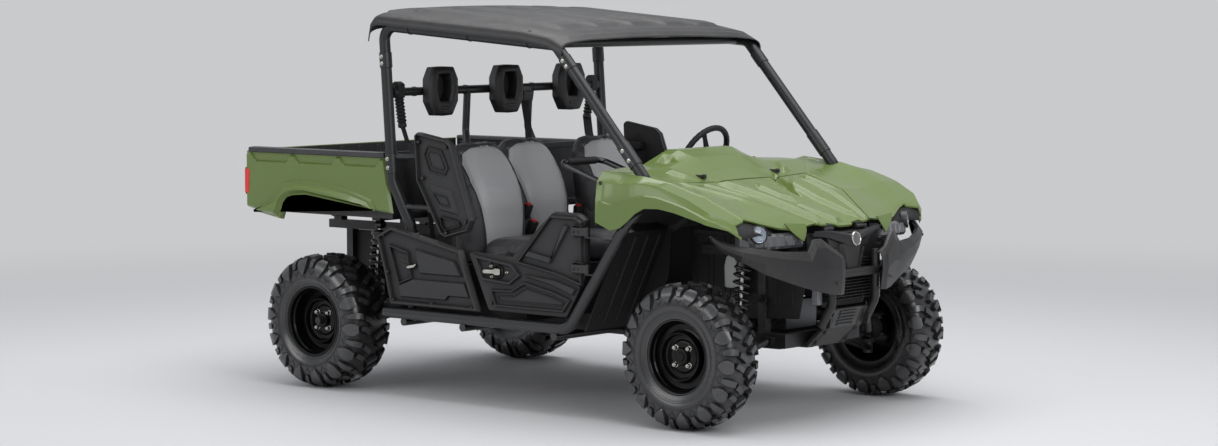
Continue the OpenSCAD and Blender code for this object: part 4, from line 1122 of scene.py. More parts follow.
def make_shoulder_guard(side, hand):
    guard, face = Shape(side), BODY_Y - 36
    outline = [(rx(615), 1180), (rx(632), 1194), (rx(808), 1165), (rx(839), 1142), (rx(961), 814),
               (rx(935), 765), (rx(803), 731), (rx(770), 745), (rx(627), 977)]
    base = rounded(outline, 8)
    guard.plate(base, face, face + 22, 0)
    guard.plate(base, face + 22, face + 26, 4)
    guard.band(outline, 16, face + 25, face + 32, 5)
    six = [(rx(668), 1096), (rx(690), 1134), (rx(776), 1120), (rx(818), 1040), (rx(796), 1004),
           (rx(700), 1020)]
    guard.band(six, 7, face + 25, face + 28.5, 2)
    guard.band(inset(six, 20), 5, face + 25, face + 27.5, 1.5)
    guard.plate([(rx(694), 968), (rx(840), 940), (rx(884), 830), (rx(764), 850)], face + 25, face + 29, 9)
    for hollow in ([(rx(768), 826), (rx(880), 808), (rx(892), 784), (rx(800), 762), (rx(778), 780)],
                   [(rx(724), 930), (rx(812), 912), (rx(832), 866), (rx(768), 876)]):
        guard.band(hollow, 5, face + 26, face + 31, 1.5)
    for x, z in ((rx(640), 1150), (rx(808), 1134), (rx(664), 990), (rx(924), 806), (rx(806), 752)):
        guard.stud((x, face + 29, z), (0, 1, 0), 8, 4)
    guard.deepen(face + 32, 10.5, 2.4)
    return guard.piece(f"shoulder_guard_{hand}", "chassis", black_plastic, slot="black_plastic", bevel=2.2,
                       smooth=34, replaces=("shoulder_guards",) if side < 0 else ())


for side, hand in SIDES:
    made = make_door(side, hand)
    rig.replaces(made, f"door_{hand}")
    make_hinges(side, hand)
    make_side_panel(side, hand)
    make_shoulder_guard(side, hand)
print("doors, panels and guards made")

# %% [markdown]
# # Bed
# Green outer sides with a raised flare over the wheel arch and three scalloped hollows under the rim;
# inside, a ribbed black liner with a thick top rail. The tailgate closes it, and the tail lamps are
# moulded red lenses.

# %% Bed
BED_REAR = rx(-485)
BED_FRONT = BED_REAR + 912


def make_bed_side(side, hand):
    panel, face = Shape(side), BED_Y
    arch = [(rx(-235), 765), (rx(-218), 806), (rx(-205), 835), (rx(-180), 858), (rx(-150), 872),
            (rx(-60), 878)]
    low = [(BED_REAR + 6, 815)] + arch + [(rx(300), 838), (BED_FRONT + 50, 822), (BED_FRONT, 1076)]
    panel.plate(low + [(BED_REAR + 6, 1076)], face - 14, face - 12, 0)
    # The raised field stops under the rim with three long hollows in its upper edge
    scallops = []
    for left, right in ((BED_FRONT - 30, BED_FRONT - 280), (BED_FRONT - 310, BED_FRONT - 580),
                        (BED_FRONT - 610, BED_REAR + 46)):
        scallops += [(left, 1068), (left - 20, 1042), (left - 30, 1036), (right + 30, 1036),
                     (right + 20, 1042), (right, 1068)]
    panel.plate(low[:-1] + [(BED_FRONT + 2, 1068)] + scallops + [(BED_REAR + 6, 1068)], face - 13, face, 9)
    # Flare over the wheel: an outer band with a soft shoulder and a second step behind it
    flare = [(BED_REAR + 60, 795)] + arch + [(rx(380), 828), (rx(350), 884), (rx(240), 916), (rx(120), 940),
                                             (rx(-20), 956), (rx(-130), 958), (rx(-230), 940),
                                             (rx(-290), 870)]
    panel.plate(rounded(flare, 10), face - 4, face + 13, 10)
    inner = [(BED_REAR + 78, 801), (rx(-247), 776), (rx(-224), 812), (rx(-211), 844), (rx(-186), 868),
             (rx(-152), 884),
             (rx(-60), 890), (rx(364), 838), (rx(330), 872), (rx(220), 900), (rx(100), 922), (rx(-30), 937),
             (rx(-124), 938), (rx(-214), 922), (rx(-268), 858)]
    panel.plate(inner, face + 9, face + 38, 20)
    return panel.piece(f"bed_side_{hand}", "bed", olive, slot="green_plastic", bevel=2.2, smooth=32,
                       replaces=("bed_fenders",) if side < 0 else ())


for side, hand in SIDES:
    make_bed_side(side, hand)
    lamp = Shape(side)
    lamp.plate([(BED_Y - 56, 872), (BED_Y - 1, 872), (BED_Y - 1, 1000), (BED_Y - 56, 1000)], BED_REAR + 5.7,
               BED_REAR + 2, 1, axis="x")
    for z0, z1 in ((878, 936), (940, 994)):
        lamp.plate(rounded([(BED_Y - 51, z0), (BED_Y - 5, z0), (BED_Y - 5, z1), (BED_Y - 51, z1)], 8),
                   BED_REAR + 3, BED_REAR - 1, 3, axis="x")
    lamp.plate([(BED_REAR + 2, 880), (BED_REAR + 30, 880), (BED_REAR + 36, 992), (BED_REAR + 2, 992)],
               BED_Y - 2, BED_Y + 3, 2)
    lamp.piece(f"tail_lamp_{hand}", "bed", red_lens, slot="red_lens", bevel=1.2,
               replaces=("tail_lights",) if side < 0 else ())

# Ribs and rails of the black liner, laid on the kept bed box
ribs = Shape()
y_in = BED_Y - 62
for side in (-1, 1):
    ribs.side = side
    for k in range(15):
        x = BED_REAR + 62 + k * 57
        ribs.rings([[(x - 13, y_in, z), (x - 8, y_in - 7, z + dz), (x + 8, y_in - 7, z + dz),
                     (x + 13, y_in, z)]
                    for z, dz in ((802, 6), (1070, -6))])
    ribs.rings([[(x, y_in - 5, 1088), (x, y_in - 2, 1095), (x, y_in + 26, 1097), (x, BED_Y + 1, 1094),
                 (x, BED_Y + 3, 1074), (x, BED_Y - 4, 1071), (x, y_in + 8, 1077), (x, y_in - 5, 1077)]
                for x in (BED_REAR + 30, BED_FRONT - 2)])
ribs.side = 1
for k in range(23):
    y = -y_in + 30 + k * (2 * y_in - 60) / 22
    ribs.rings([[(x, y - 13, 800), (x, y - 9, 806), (x, y + 9, 806), (x, y + 13, 800)]
                for x in (BED_REAR + 40, BED_FRONT - 12)])
    if k % 2:
        ribs.rings([[(BED_FRONT - 5, y - 15, z), (BED_FRONT - 13, y - 9, z), (BED_FRONT - 13, y + 9, z),
                     (BED_FRONT - 5, y + 15, z)] for z in (808, 1070)])
ribs.rings([[(BED_FRONT - 34, y, 1088), (BED_FRONT - 34, y, 1095), (BED_FRONT + 2, y, 1097),
             (BED_FRONT + 5, y, 1072),
             (BED_FRONT - 4, y, 1072), (BED_FRONT - 10, y, 1080)] for y in (-BED_Y - 2, BED_Y + 2)])
ribs.piece("bed_liner_ribs", "bed", black_plastic, slot="black_plastic", bevel=1.5)

gate = Shape()
gate_y = BED_Y - 62.5
gate.plate([(-gate_y, 816), (gate_y, 816), (gate_y, 1084), (-gate_y, 1084)],
           BED_REAR + 22, BED_REAR + 7, 0, axis="x")
gate.band([(-gate_y, 816), (gate_y, 816), (gate_y, 1084), (-gate_y, 1084)], 26,
          BED_REAR + 8, BED_REAR + 2, 5, axis="x")
for y0, y1 in ((-640, -240), (-200, 200), (240, 640)):
    gate.plate([(y0, 860), (y1, 860), (y1 - 24, 1010), (y0 + 24, 1010)], BED_REAR + 8, BED_REAR + 3.5, 8,
               axis="x")
for side in (-1, 1):
    gate.side = side
    gate.lathe([(4, 0), (8, 0), (8, 120), (4, 120)], (BED_REAR + 12, BED_Y - 200, 808), (0, 1, 0), 24,
               closed=True)
    gate.box((BED_REAR + 7, BED_Y - 198, 812), (BED_REAR + 17, BED_Y - 82, 820))
gate.side = 1
gate.paint = 1
gate.band([(-96, 1030), (96, 1030), (84, 1070), (-84, 1070)], 8, BED_REAR + 8, BED_REAR + 2.5, 2, axis="x")
gate.plate([(-70, 1046), (70, 1046), (66, 1060), (-66, 1060)], BED_REAR + 8, BED_REAR + 3, 3, axis="x")
gate.plate([(-gate_y + 1, 818), (gate_y - 1, 818), (gate_y - 1, 1082), (-gate_y + 1, 1082)], BED_REAR + 20,
           BED_REAR + 23, 1, axis="x")
for k in range(11):
    y = -gate_y + 60 + k * (2 * gate_y - 120) / 10
    gate.rings([[(BED_REAR + 22, y - 16, z), (BED_REAR + 27, y - 10, z), (BED_REAR + 27, y + 10, z),
                 (BED_REAR + 22, y + 16, z)] for z in (826, 1072)])
gate.piece("tailgate_panel", "bed_gate", olive, black_plastic, slot="green_plastic", bevel=1.8,
           replaces=("tailgate",))
print("bed made")

# %% [markdown]
# # Cage and roof
# Bent tubes with collars and bolts at their feet, cross bars, and a moulded roof with ribs along it and a
# lip at the back. The head pads are slotted plastic shells on the upper bar.

# %% Cage
FOOT_X, FOOT_Y = rx(540), BODY_Y - 65
ROOF_Z, ROOF_REAR, ROOF_FRONT = 1666, rx(428), fx(-737)
KNEE, REAR_CORNER = Vector((rx(476), 735, 965)), Vector((ROOF_REAR, 735, ROOF_Z))
FRONT_CORNER, PILLAR_FOOT = Vector((ROOF_FRONT, 675, ROOF_Z - 80)), Vector((fx(-243), 675, 1028))


def rail_z(x):
    return ROOF_Z - 80 * (x - ROOF_REAR) / (ROOF_FRONT - ROOF_REAR)


def rail_y(x):
    return 735 - 60 * (x - ROOF_REAR) / (ROOF_FRONT - ROOF_REAR)


for side, hand in SIDES:
    cage = Shape(side)
    path = [(FOOT_X, FOOT_Y, 748), (FOOT_X, FOOT_Y, 770), KNEE, REAR_CORNER, FRONT_CORNER, PILLAR_FOOT,
            (fx(-243), 675, 1006)]
    cage.tube(path, 25, bend=60, sides=28, steps=9)
    for centre, up in (((FOOT_X, FOOT_Y, 745), 1), ((fx(-243), 675, 1003), 1)):
        cage.lathe([(32, 0), (32, 5), (30, 6.5), (26, 6.5), (24, 3)], centre, (0, 0, up), 32)
    # Sleeves that join the tubes: near the rear foot, at the rear roof corner and above the front foot
    rise, lean = (REAR_CORNER - KNEE).normalized(), (PILLAR_FOOT - FRONT_CORNER).normalized()
    sleeves = [(KNEE + rise * 40, rise, 90), (REAR_CORNER - rise * 190, rise, 70),
               (PILLAR_FOOT - lean * 190, lean, 120), (FRONT_CORNER + lean * 70, lean, 70)]
    for start, d, length in sleeves:
        cage.lathe([(25, 0), (28.5, 1.5), (28.5, length - 1.5), (25, length)], start, d, 32)
    cage.paint = 1
    for start, d, length in sleeves:
        for share in (0.28, 0.72):
            cage.bolt(start + d * length * share + Vector((0, 28, 0)), (0, 1, 0), 6.5, 7)
    cage.paint = 0
    for z in (855, 1080):
        pillar = (rx(468), 735, z) if z > 965 else (rx(508), 710, z)
        cage.tube([pillar, (rx(560), BODY_Y - 54, z), (rx(700), BODY_Y - 54, z)], 12, bend=30, sides=16)
        cage.plate(rounded([(rx(670), z - 18), (rx(740), z - 18), (rx(740), z + 18), (rx(670), z + 18)], 6),
                   BODY_Y - 66, BODY_Y - 36.4, 0)
    cage.piece(f"cage_tube_{hand}", "chassis", cage_paint, zinc, slot="cage_steel", bevel=0.8, smooth=40,
               replaces=(f"cage_{hand}",))

cross = Shape()
for x in (ROOF_REAR + 110, ROOF_FRONT - 60):
    y = rail_y(x) - 26
    cross.tube([(x, -y, rail_z(x)), (x, y, rail_z(x))], 19, sides=24)
cross.tube([(rx(452), -709.5, 1367), (rx(452), 709.5, 1367)], 19, sides=28)
cross.tube([(rx(520), -666, 818), (rx(520), 666, 818)], 19, sides=24)
for side in (-1, 1):
    cross.side = side
    cross.tube([(rx(452), 215, 1367), (rx(440), 215, 1180), (rx(500), 260, 985), (rx(520), 260, 818)], 17,
               bend=60, sides=24)
    for y in (222, 560, 690):
        cross.lathe([(19, 0), (22, 1), (22, 15), (19, 16)], (rx(452), y, 1367), (0, 1, 0), 28)
cross.side = 1
cross.piece("cage_cross_tubes", "chassis", cage_paint, slot="cage_steel", bevel=0.6, smooth=40,
            replaces=("cage_cross_bars",))

# %% Roof
roof_half = [(1.0, 2), (0.999, 14), (0.995, 30), (0.985, 41), (0.97, 48), (0.94, 56), (0.9, 60)]
roof_half += [(0.9 - 0.012 * k, 60 + 12 * (1 - (1 - k / 25.0) ** 2)) for k in range(1, 26)]
roof_half += [(0.6 - 0.0125 * k, 72 + 8 * (1 - (1 - k / 48.0) ** 2)) for k in range(1, 49)]
roof_half = [(max(0.0, s), h) for s, h in roof_half]
roof_section = roof_half + [(-s, h) for s, h in reversed(roof_half[:-1])]
ROOF_DROP = [(ROOF_REAR - 62, 78), (ROOF_REAR - 52, 30), (ROOF_REAR - 34, 9), (ROOF_REAR - 10, 0),
             (ROOF_FRONT - 160, 0), (ROOF_FRONT - 20, 14), (ROOF_FRONT + 55, 44)]
stations = [ROOF_REAR - 62, ROOF_REAR - 57, ROOF_REAR - 52, ROOF_REAR - 42, ROOF_REAR - 34]
stations += [ROOF_REAR - 24 + k * (ROOF_FRONT + 79 - ROOF_REAR) / 96 for k in range(97)]
RIBS = (0.0, 0.34, 0.68)


def roof_relief(x, share):
    """Raised ribs along the roof, with a raised cross band near each end."""
    y = abs(share)
    ends = min(1.0, max(0.0, (x - ROOF_REAR - 40) / 30)) * min(1.0, max(0.0, (ROOF_FRONT - 60 - x) / 40))
    near = min(abs(y - rib) for rib in RIBS)
    rib = max(0.0, min(1.0, (0.125 - near) / 0.035)) * 13 * ends
    lip = 8 * max(0.0, 1 - abs(x - ROOF_REAR + 16) / 18) if y < 0.93 else 0
    brow = 5 * max(0.0, 1 - abs(x - ROOF_FRONT - 20) / 16) if y < 0.9 else 0
    return max(rib, lip, brow) if y < 0.9 else 0


roof = Shape()
rows = [[(x, s * (rail_y(x) + 34), rail_z(x) - along(x, ROOF_DROP) + h + roof_relief(x, s))
         for s, h in roof_section]
        for x in stations]
roof.rings(rows, caps=False, wrap=False)
roof.piece("roof_shell", "chassis", black_plastic, slot="black_plastic", smooth=50, solid=5.0,
           replaces=("roof",))
pads = Shape()
for side in (-1, 1):
    pads.side = side
    for x in (ROOF_REAR + 160, ROOF_REAR + 500, ROOF_FRONT - 140):
        top = rail_z(x) + 25
        pads.lathe([(13, 0.4), (13, 18), (10, 25)], (x, rail_y(x), top), (0, 0, 1), 20)
        pads.lathe([(26, -3), (28, -3), (28, 3), (26, 3)], (x, rail_y(x), rail_z(x)), (1, 0, -0.08), 28,
                   closed=True)
pads.side = 1
pads.piece("roof_mount_pads", "chassis", rubber, bevel=0.8)

# %% Head pads
for index, y_mid in enumerate((-445, 0, 445)):
    x = rx(452) + 19.3
    pad = Shape()
    outer = [(-70, 113), (0, 116), (70, 113), (98, 60), (98, -50), (60, -113), (0, -116), (-60, -113),
             (-98, -50), (-98, 60)]
    hole = [(-32, 72), (0, 74), (32, 72), (42, 40), (42, 4), (28, -38), (0, -40), (-28, -38), (-42, 4),
            (-42, 40)]
    loops = [(outer, 0, 0.9), (outer, 10, 0.97), (outer, 44, 0.97), (outer, 55, 0.9), (outer, 60, 0.8)]
    rings = [[(x + d, y_mid + p[0] * k, 1366 + p[1] * k) for p in shape] for shape, d, k in loops]
    rings += [[(x + d, y_mid + (p[0]) * k, 1366 + 20 + (p[1] - 20) * k) for p in hole]
              for d, k in ((60, 1.3), (55, 1.12), (34, 0.94), (0, 0.9))]
    pad.rings(rings, closed=True, caps=False)
    pad.paint = 1
    pad.plate([(y_mid + p[0], 1366 + p[1]) for p in ((-34, -66), (34, -66), (28, -84), (-28, -84))], x + 59,
              x + 63, 4, axis="x")
    pad.plate([(y_mid + p[0] * 1.1, 1386 + (p[1] - 20) * 1.1) for p in hole], x + 6, x + 10, 0, axis="x")
    for turn in (-1, 1):
        pad.band([(y_mid + turn * a, 1366 + b) for a, b in ((56, 66), (72, 50), (74, -20), (58, -30))], 5,
                 x + 58, x + 61, 1.5, axis="x")
    pad.paint = 0
    pad.box((x - 36, y_mid - 26, 1352), (x, y_mid + 26, 1382))
    pad.piece("head_pad_" + ("right", "middle", "left")[index], "chassis", black_plastic, dark_plastic,
              bevel=3.5, bevel_steps=3, slot="black_plastic", replaces=("headrests",) if index == 0 else ())
print("cage, roof and head pads made")

# %% [markdown]
# # Seats
# Each back and cushion starts as a closed, slightly small form. An even mesh of it is blown up as cloth
# under pressure, with its movement capped, so that it crowns and pulls in at its corners like upholstery.
# The sewn seam and the light centre panel come after that, on the padded surface.

# %% Padding
VOXEL, QUICK_VOXEL, PRESSURE, CLOTH_STEPS, SMOOTH_ROUNDS = 6.0, 9.0, 4.0, 20, 3


def settled(obj):
    """The object's mesh as it stands with its modifiers, as a new mesh."""
    return bpy.data.meshes.new_from_object(obj.evaluated_get(bpy.context.evaluated_depsgraph_get()))


def puff(obj, cap):
    """Padding by cloth under pressure; the result is kept in the mesh and no modifier is left."""
    even = obj.modifiers.new("even", "REMESH")
    even.mode, even.voxel_size = "VOXEL", (QUICK_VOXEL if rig.quick() else VOXEL) * MM
    mesh = settled(obj)
    obj.modifiers.clear()
    obj.data = mesh
    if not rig.quick():
        start = [v.co.copy() for v in mesh.vertices]
        cloth = obj.modifiers.new("cloth", "CLOTH")
        cloth.settings.quality = 4
        cloth.settings.use_pressure = True
        cloth.settings.uniform_pressure_force = PRESSURE
        cloth.settings.effector_weights.gravity = 0
        cloth.collision_settings.use_collision = False
        for step in range(CLOTH_STEPS):
            bpy.context.scene.frame_set(step + 1)
        mesh = settled(obj)
        obj.modifiers.clear()
        bpy.context.scene.frame_set(1)
        obj.data = mesh
        for v, rest in zip(mesh.vertices, start):
            moved = v.co - rest
            if moved.length > cap * MM:
                v.co = rest + moved.normalized() * cap * MM
    work = bmesh.new()
    work.from_mesh(obj.data)
    for _ in range(SMOOTH_ROUNDS):
        bmesh.ops.smooth_vert(work, verts=work.verts, factor=0.5, use_axis_x=True, use_axis_y=True,
                              use_axis_z=True)
    work.to_mesh(obj.data)
    work.free()
    obj.data.shade_smooth()
    return obj


def outline_distance(p, outline):
    """Signed distance from a point to an outline, positive inside."""
    return inside_by(p, outline) or -min(to_edge(p, a, b) for a, b in zip(outline, outline[1:] + outline[:1]))


def sew(obj, outline, flat, look, dark, light):
    """Sewn seam round a centre panel; flat takes a point to the outline's plane."""
    mesh = obj.data
    mesh.materials.clear()
    mesh.materials.append(dark)
    mesh.materials.append(light)
    normals = [v.normal.copy() for v in mesh.vertices]
    for v, n in zip(mesh.vertices, normals):
        if n.dot(look) < 0.15:
            continue
        p = flat(v.co / MM)
        d = outline_distance(p, outline)
        depth = 5.5 * math.exp(-(d / 7.5) ** 2)
        crown = 5.0 * min(1.0, max(0.0, d) / 45.0)
        v.co += n * (crown - depth) * MM
    for face in mesh.polygons:
        p = flat(face.center / MM)
        face.material_index = 1 if face.normal.dot(look) > 0.1 and outline_distance(p, outline) > 0 else 0
    mesh.shade_smooth()


def stitched(name, obj, outline, lift, ray, body, count=90):
    """A piped edge along the seam, laid on the padded surface."""
    tree = BVHTree.FromObject(obj, bpy.context.evaluated_depsgraph_get())
    cord, path = Shape(), []
    total = list(zip(outline, outline[1:] + outline[:1]))
    length = sum(math.dist(a, b) for a, b in total)
    step, carry, points = length / count, 0.0, []
    for a, b in total:
        span = math.dist(a, b)
        at = carry
        while at < span:
            points.append((a[0] + (b[0] - a[0]) * at / span, a[1] + (b[1] - a[1]) * at / span))
            at += step
        carry = at - span
    for p in points:
        start = lift(p)
        hit = tree.ray_cast(Vector(start) * MM, Vector(ray))[0]
        if hit is not None:
            path.append(hit / MM - Vector(ray) * 1.2)
    if len(path) < 8:
        return None
    cord.tube(path, 2.6, sides=8, closed=True)
    return cord.piece(name, body, bolster_vinyl, smooth=60)


# %% Seat backs
BACK = [(612, 700, 862, 184), (660, 694, 866, 194), (760, 682, 866, 198), (860, 668, 858, 198),
        (930, 660, 836, 195),
        (1010, 652, 794, 186), (1070, 647, 760, 172), (1110, 645, 738, 152), (1136, 648, 722, 124),
        (1148, 660, 704, 84)]


BACK_FOOT, BACK_TOP = 612, 1148
BACK_SQUARE, CUSHION_SQUARE = 0.62, 0.36


def squared(value, power):
    """A sine or cosine pushed outwards, so that its circle becomes a rounded square."""
    return math.copysign(abs(value) ** power, value)


def back_ring(z):
    rear, front, half = (along(z, [(row[0], row[k]) for row in BACK]) for k in (1, 2, 3))
    ring = []
    for k in range(56):
        a = 2 * math.pi * k / 56
        c, s = math.cos(a), math.sin(a)
        bow = 16 * (1 - abs(s) ** 2) if c > 0 else 0
        x = rx((rear + front) / 2) + (front - rear - 16) / 2 * squared(c, BACK_SQUARE) + bow - 4
        ring.append((x, half * squared(s, BACK_SQUARE), z))
    return ring


back_form = Shape().rings([back_ring(BACK_FOOT + (BACK_TOP - BACK_FOOT) * k / 44) for k in range(45)])
BACK_PANEL = [(-112, 640), (112, 640), (124, 740), (140, 860), (152, 960), (150, 1050), (128, 1096),
              (84, 1118), (0, 1126), (-84, 1118), (-128, 1096), (-150, 1050), (-152, 960), (-140, 860),
              (-124, 740)]
CUSHION_PANEL = [(rx(905), -128), (rx(1110), -136), (rx(1170), -122), (rx(1190), -90), (rx(1190), 90),
                 (rx(1170), 122), (rx(1110), 136), (rx(905), 128)]


def cushion_form(back):
    """Rounded box of the seat's squab, higher at its front."""
    shape, rings = Shape(), []
    rear, front = rx(880) - back, rx(1214)
    for t, shrink in ((0.0, 10), (0.06, 3), (0.2, 0), (0.6, 0), (0.8, 4), (0.93, 13), (1.0, 30)):
        ring = []
        for k in range(72):
            a = 2 * math.pi * k / 72
            c, s = math.cos(a), math.sin(a)
            x = (rear + front) / 2 + ((front - rear) / 2 - shrink) * squared(c, CUSHION_SQUARE)
            y = (198 - shrink) * squared(s, CUSHION_SQUARE)
            top = 712 + 10 * min(1.0, max(0.0, (x - rx(900)) / 250)) - 22 * max(0.0, (x - rx(1150)) / 60) ** 2
            ring.append((x, y, 611 + (top - 611) * t))
        rings.append(ring)
    return shape.rings(rings)


SEAT_PLACES = (("right", -420, 0), ("middle", 0, 100), ("left", 420, 0))
CUSHION_FLOOR = 608.4
forms = {}


def padded_form(name, key, form, cap):
    """A padded piece: the first one of each form is puffed, and the others start as copies of it."""
    if key not in forms:
        made = form.piece(name, "chassis", bolster_vinyl)
        puff(made, cap)
        forms[key] = made.data.copy()
        return made
    made = bpy.data.objects.new(name, forms[key].copy())
    bpy.context.scene.collection.objects.link(made)
    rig.ride(made, "chassis")
    return made


for hand, y_mid, set_back in SEAT_PLACES:
    made = padded_form(f"seat_back_{hand}", "back", back_form, 14)
    for v in made.data.vertices:
        v.co.y += y_mid * MM
        v.co.x -= set_back * MM
    made.data.update()
    outline = [(y + y_mid, z) for y, z in BACK_PANEL]
    sew(made, outline, lambda p: (p[1], p[2]), Vector((1, 0, 0.15)).normalized(), bolster_vinyl, seat_vinyl)
    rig.slot(made, "seat_vinyl")
    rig.padded(made, 0.85)
    if hand == "right":
        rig.replaces(made, "seat_backs")
    stitched(f"seat_back_piping_{hand}", made, outline, lambda p: (rx(1200), p[0], p[1]), (-1, 0, 0),
             "chassis")

for hand, y_mid, set_back in SEAT_PLACES:
    made = padded_form(f"seat_cushion_{hand}", f"cushion{set_back}", cushion_form(set_back), 9)
    for v in made.data.vertices:
        v.co.y += y_mid * MM
        v.co.z = max(v.co.z, CUSHION_FLOOR * MM)
    made.data.update()
    outline = [(x, y + y_mid) for x, y in CUSHION_PANEL]
    sew(made, outline, lambda p: (p[0], p[1]), Vector((0, 0, 1)), bolster_vinyl, cushion_vinyl)
    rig.slot(made, "seat_vinyl")
    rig.padded(made, 0.8)
    if hand == "right":
        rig.replaces(made, "seat_cushions")
    stitched(f"seat_cushion_piping_{hand}", made, outline, lambda p: (p[0], p[1], 900), (0, 0, -1), "chassis")
print("seats padded:", len(forms), "forms")

# %% [markdown]
# # Belts
# Webbing runs from a boot under the cage's corner, over the seat, to a buckle on a stalk between the seats.

# %% Belts and buckles
def webbing_strip(shape, points, across, width=46.0, thick=1.8, bend=40):
    """Flat webbing along a path; across is the direction of its width."""
    line = bent_path(points, bend, 6)
    rings = []
    for i, p in enumerate(line):
        d = (line[min(i + 1, len(line) - 1)] - line[max(i - 1, 0)]).normalized()
        w = Vector(across)
        w = (w - d * w.dot(d)).normalized()
        n = d.cross(w)
        rings.append([p + w * width / 2 - n * thick / 2, p + w * width / 2 + n * thick / 2,
                      p - w * width / 2 + n * thick / 2, p - w * width / 2 - n * thick / 2])
    return shape.rings(rings)


for side, hand in SIDES:
    boot, d = Shape(side), Vector((-0.04, -0.2, -1)).normalized()
    top = Vector((rx(452), 668, 1352))
    profile = [(20, -20), (22, 0)]
    for k in range(8):
        profile += [(23, 6 + 16 * k), (17, 14 + 16 * k)]
    boot.lathe(profile + [(20, 134), (20, 146), (14, 150)], top, d, 24)
    boot.plate(rounded([(rx(430), 1340), (rx(474), 1340), (rx(474), 1402), (rx(448), 1416), (rx(430), 1402)],
                       6), 650, 690)
    boot.paint = 1
    webbing_strip(boot, [top + d * 140, (rx(470), 628, 1130), (rx(560), 612, 1010), (rx(600), 606, 700)],
                  (0.35, 1, 0))
    boot.piece(f"outer_belt_{hand}", "chassis", rubber, webbing, bevel=0.5, smooth=40)
for name, low, tip in (("right", (rx(750), -210, 690), (rx(812), -196, 850)),
                       ("middle", (rx(795), -200, 672), (rx(842), -194, 775)),
                       ("left", (rx(740), 212, 680), (rx(768), 203, 820))):
    clasp = Shape()
    low = Vector(low)
    d = (Vector(tip) - low).normalized()
    high = Vector(tip) - d * 58
    clasp.tube([low, low + d * 60, high], 9, sides=12)
    u, v = Vector((0, 1, 0)), d.cross(Vector((0, 1, 0))).normalized()
    clasp.rings([[high + d * t + u * a * w + v * b * h for a, b in ((-1, -1), (1, -1), (1, 1), (-1, 1))]
                 for t, w, h in ((-14, 14, 9), (-6, 20, 13), (52, 21, 14), (58, 18, 12))])
    clasp.paint = 1
    clasp.rings([[high + d * t + u * a * w + v * (b * h + 2) for a, b in ((-1, -1), (1, -1), (1, 1), (-1, 1))]
                 for t, w, h in ((44, 15, 10), (60, 15, 10), (63, 12, 8))])
    clasp.piece(f"belt_buckle_{name}", "chassis", black_plastic, red_plastic, bevel=1.6)
middle = Shape()
webbing_strip(middle, [(rx(470), 150, 1340), (rx(530), 118, 1190), (rx(548), 110, 1000), (rx(560), 108, 760)],
              (0, 1, 0))
middle.paint = 1
middle.plate(rounded([(rx(436), 1310), (rx(500), 1300), (rx(510), 1350), (rx(446), 1386)], 8), 116, 184)
middle.piece("middle_belt", "chassis", webbing, black_plastic, bevel=0.5, smooth=40)
print("belts made")

# %% [markdown]
# # Front end
# Faceted bumper shells with upstands, a nose with two arms under the hood's edge and a plain round
# emblem, ribbed lamp lenses with a round lamp at each outer end, the brush guard's tubes and the rising
# skid plate.

# %% Nose and lamps
nose = Shape()
nose.plate(rounded([(-170, 798), (170, 798), (140, 735), (98, 730), (66, 620), (-66, 620), (-98, 730),
                    (-140, 735)], 8),
           HOOD_FRONT + 9, HOOD_FRONT + 24, 3, axis="x")
nose.plate([(-58, 776), (58, 776), (74, 728), (46, 622), (-46, 622), (-74, 728)], HOOD_FRONT + 20,
           HOOD_FRONT + 44, 16, axis="x")
# Arms: a tapering ridge from the emblem out and up to the lamps
for side in (-1, 1):
    nose.side = side
    arm = []
    for y, z, h, out in ((0, 772, 36, 56), (34, 776, 34, 52), (90, 788, 28, 42), (150, 799, 22, 32),
                         (196, 803, 18, 20), (246, 804, 14, 6)):
        x = HOOD_FRONT + 10
        arm.append([(x, y, z - h - 6), (x + out * 0.75, y, z - h), (x + out, y, z - h * 0.35),
                    (x + out * 0.96, y, z + h * 0.2),
                    (x + out * 0.62 + 6, y, z + h * 0.5), (x + 16, y, z + h * 0.32), (x, y, z - 4)])
    nose.rings(arm)
    nose.rings([[(HOOD_FRONT + 8, 96 + k, 728), (HOOD_FRONT + 30, 92 + k, 728),
                 (HOOD_FRONT + 26, 60 + k, 622), (HOOD_FRONT + 8, 62 + k, 622)] for k in (0, 16)])
    nose.lathe([(3, -10), (9, -10), (9, 10), (3, 10)], (HOOD_FRONT, 145.3, 812), (0, 1, 0), 24, closed=True)
    nose.box((HOOD_FRONT - 5, 136, 794), (HOOD_FRONT + 14, 155, 808))
nose.side = 1
nose.box((fx(280) + 1, -58, 701), (HOOD_FRONT + 14, 58, 723))
nose.paint = 1
face = Vector((1, 0, 0.18)).normalized()
hub = Vector((HOOD_FRONT + 60, 0, 768))
nose.lathe([(30, -6), (31, 3), (28, 7), (25.5, 5), (25, 3)], hub, face, 40)
nose.paint = 2
nose.lathe([(25.4, 2), (25, 4.5), (14, 6.5), (3, 7)], hub, face, 40)
nose.piece("nose_piece", "chassis", dark_plastic, zinc, lamp_grey, slot="black_plastic", bevel=1.6, smooth=34,
           replaces=("nose_grille",))

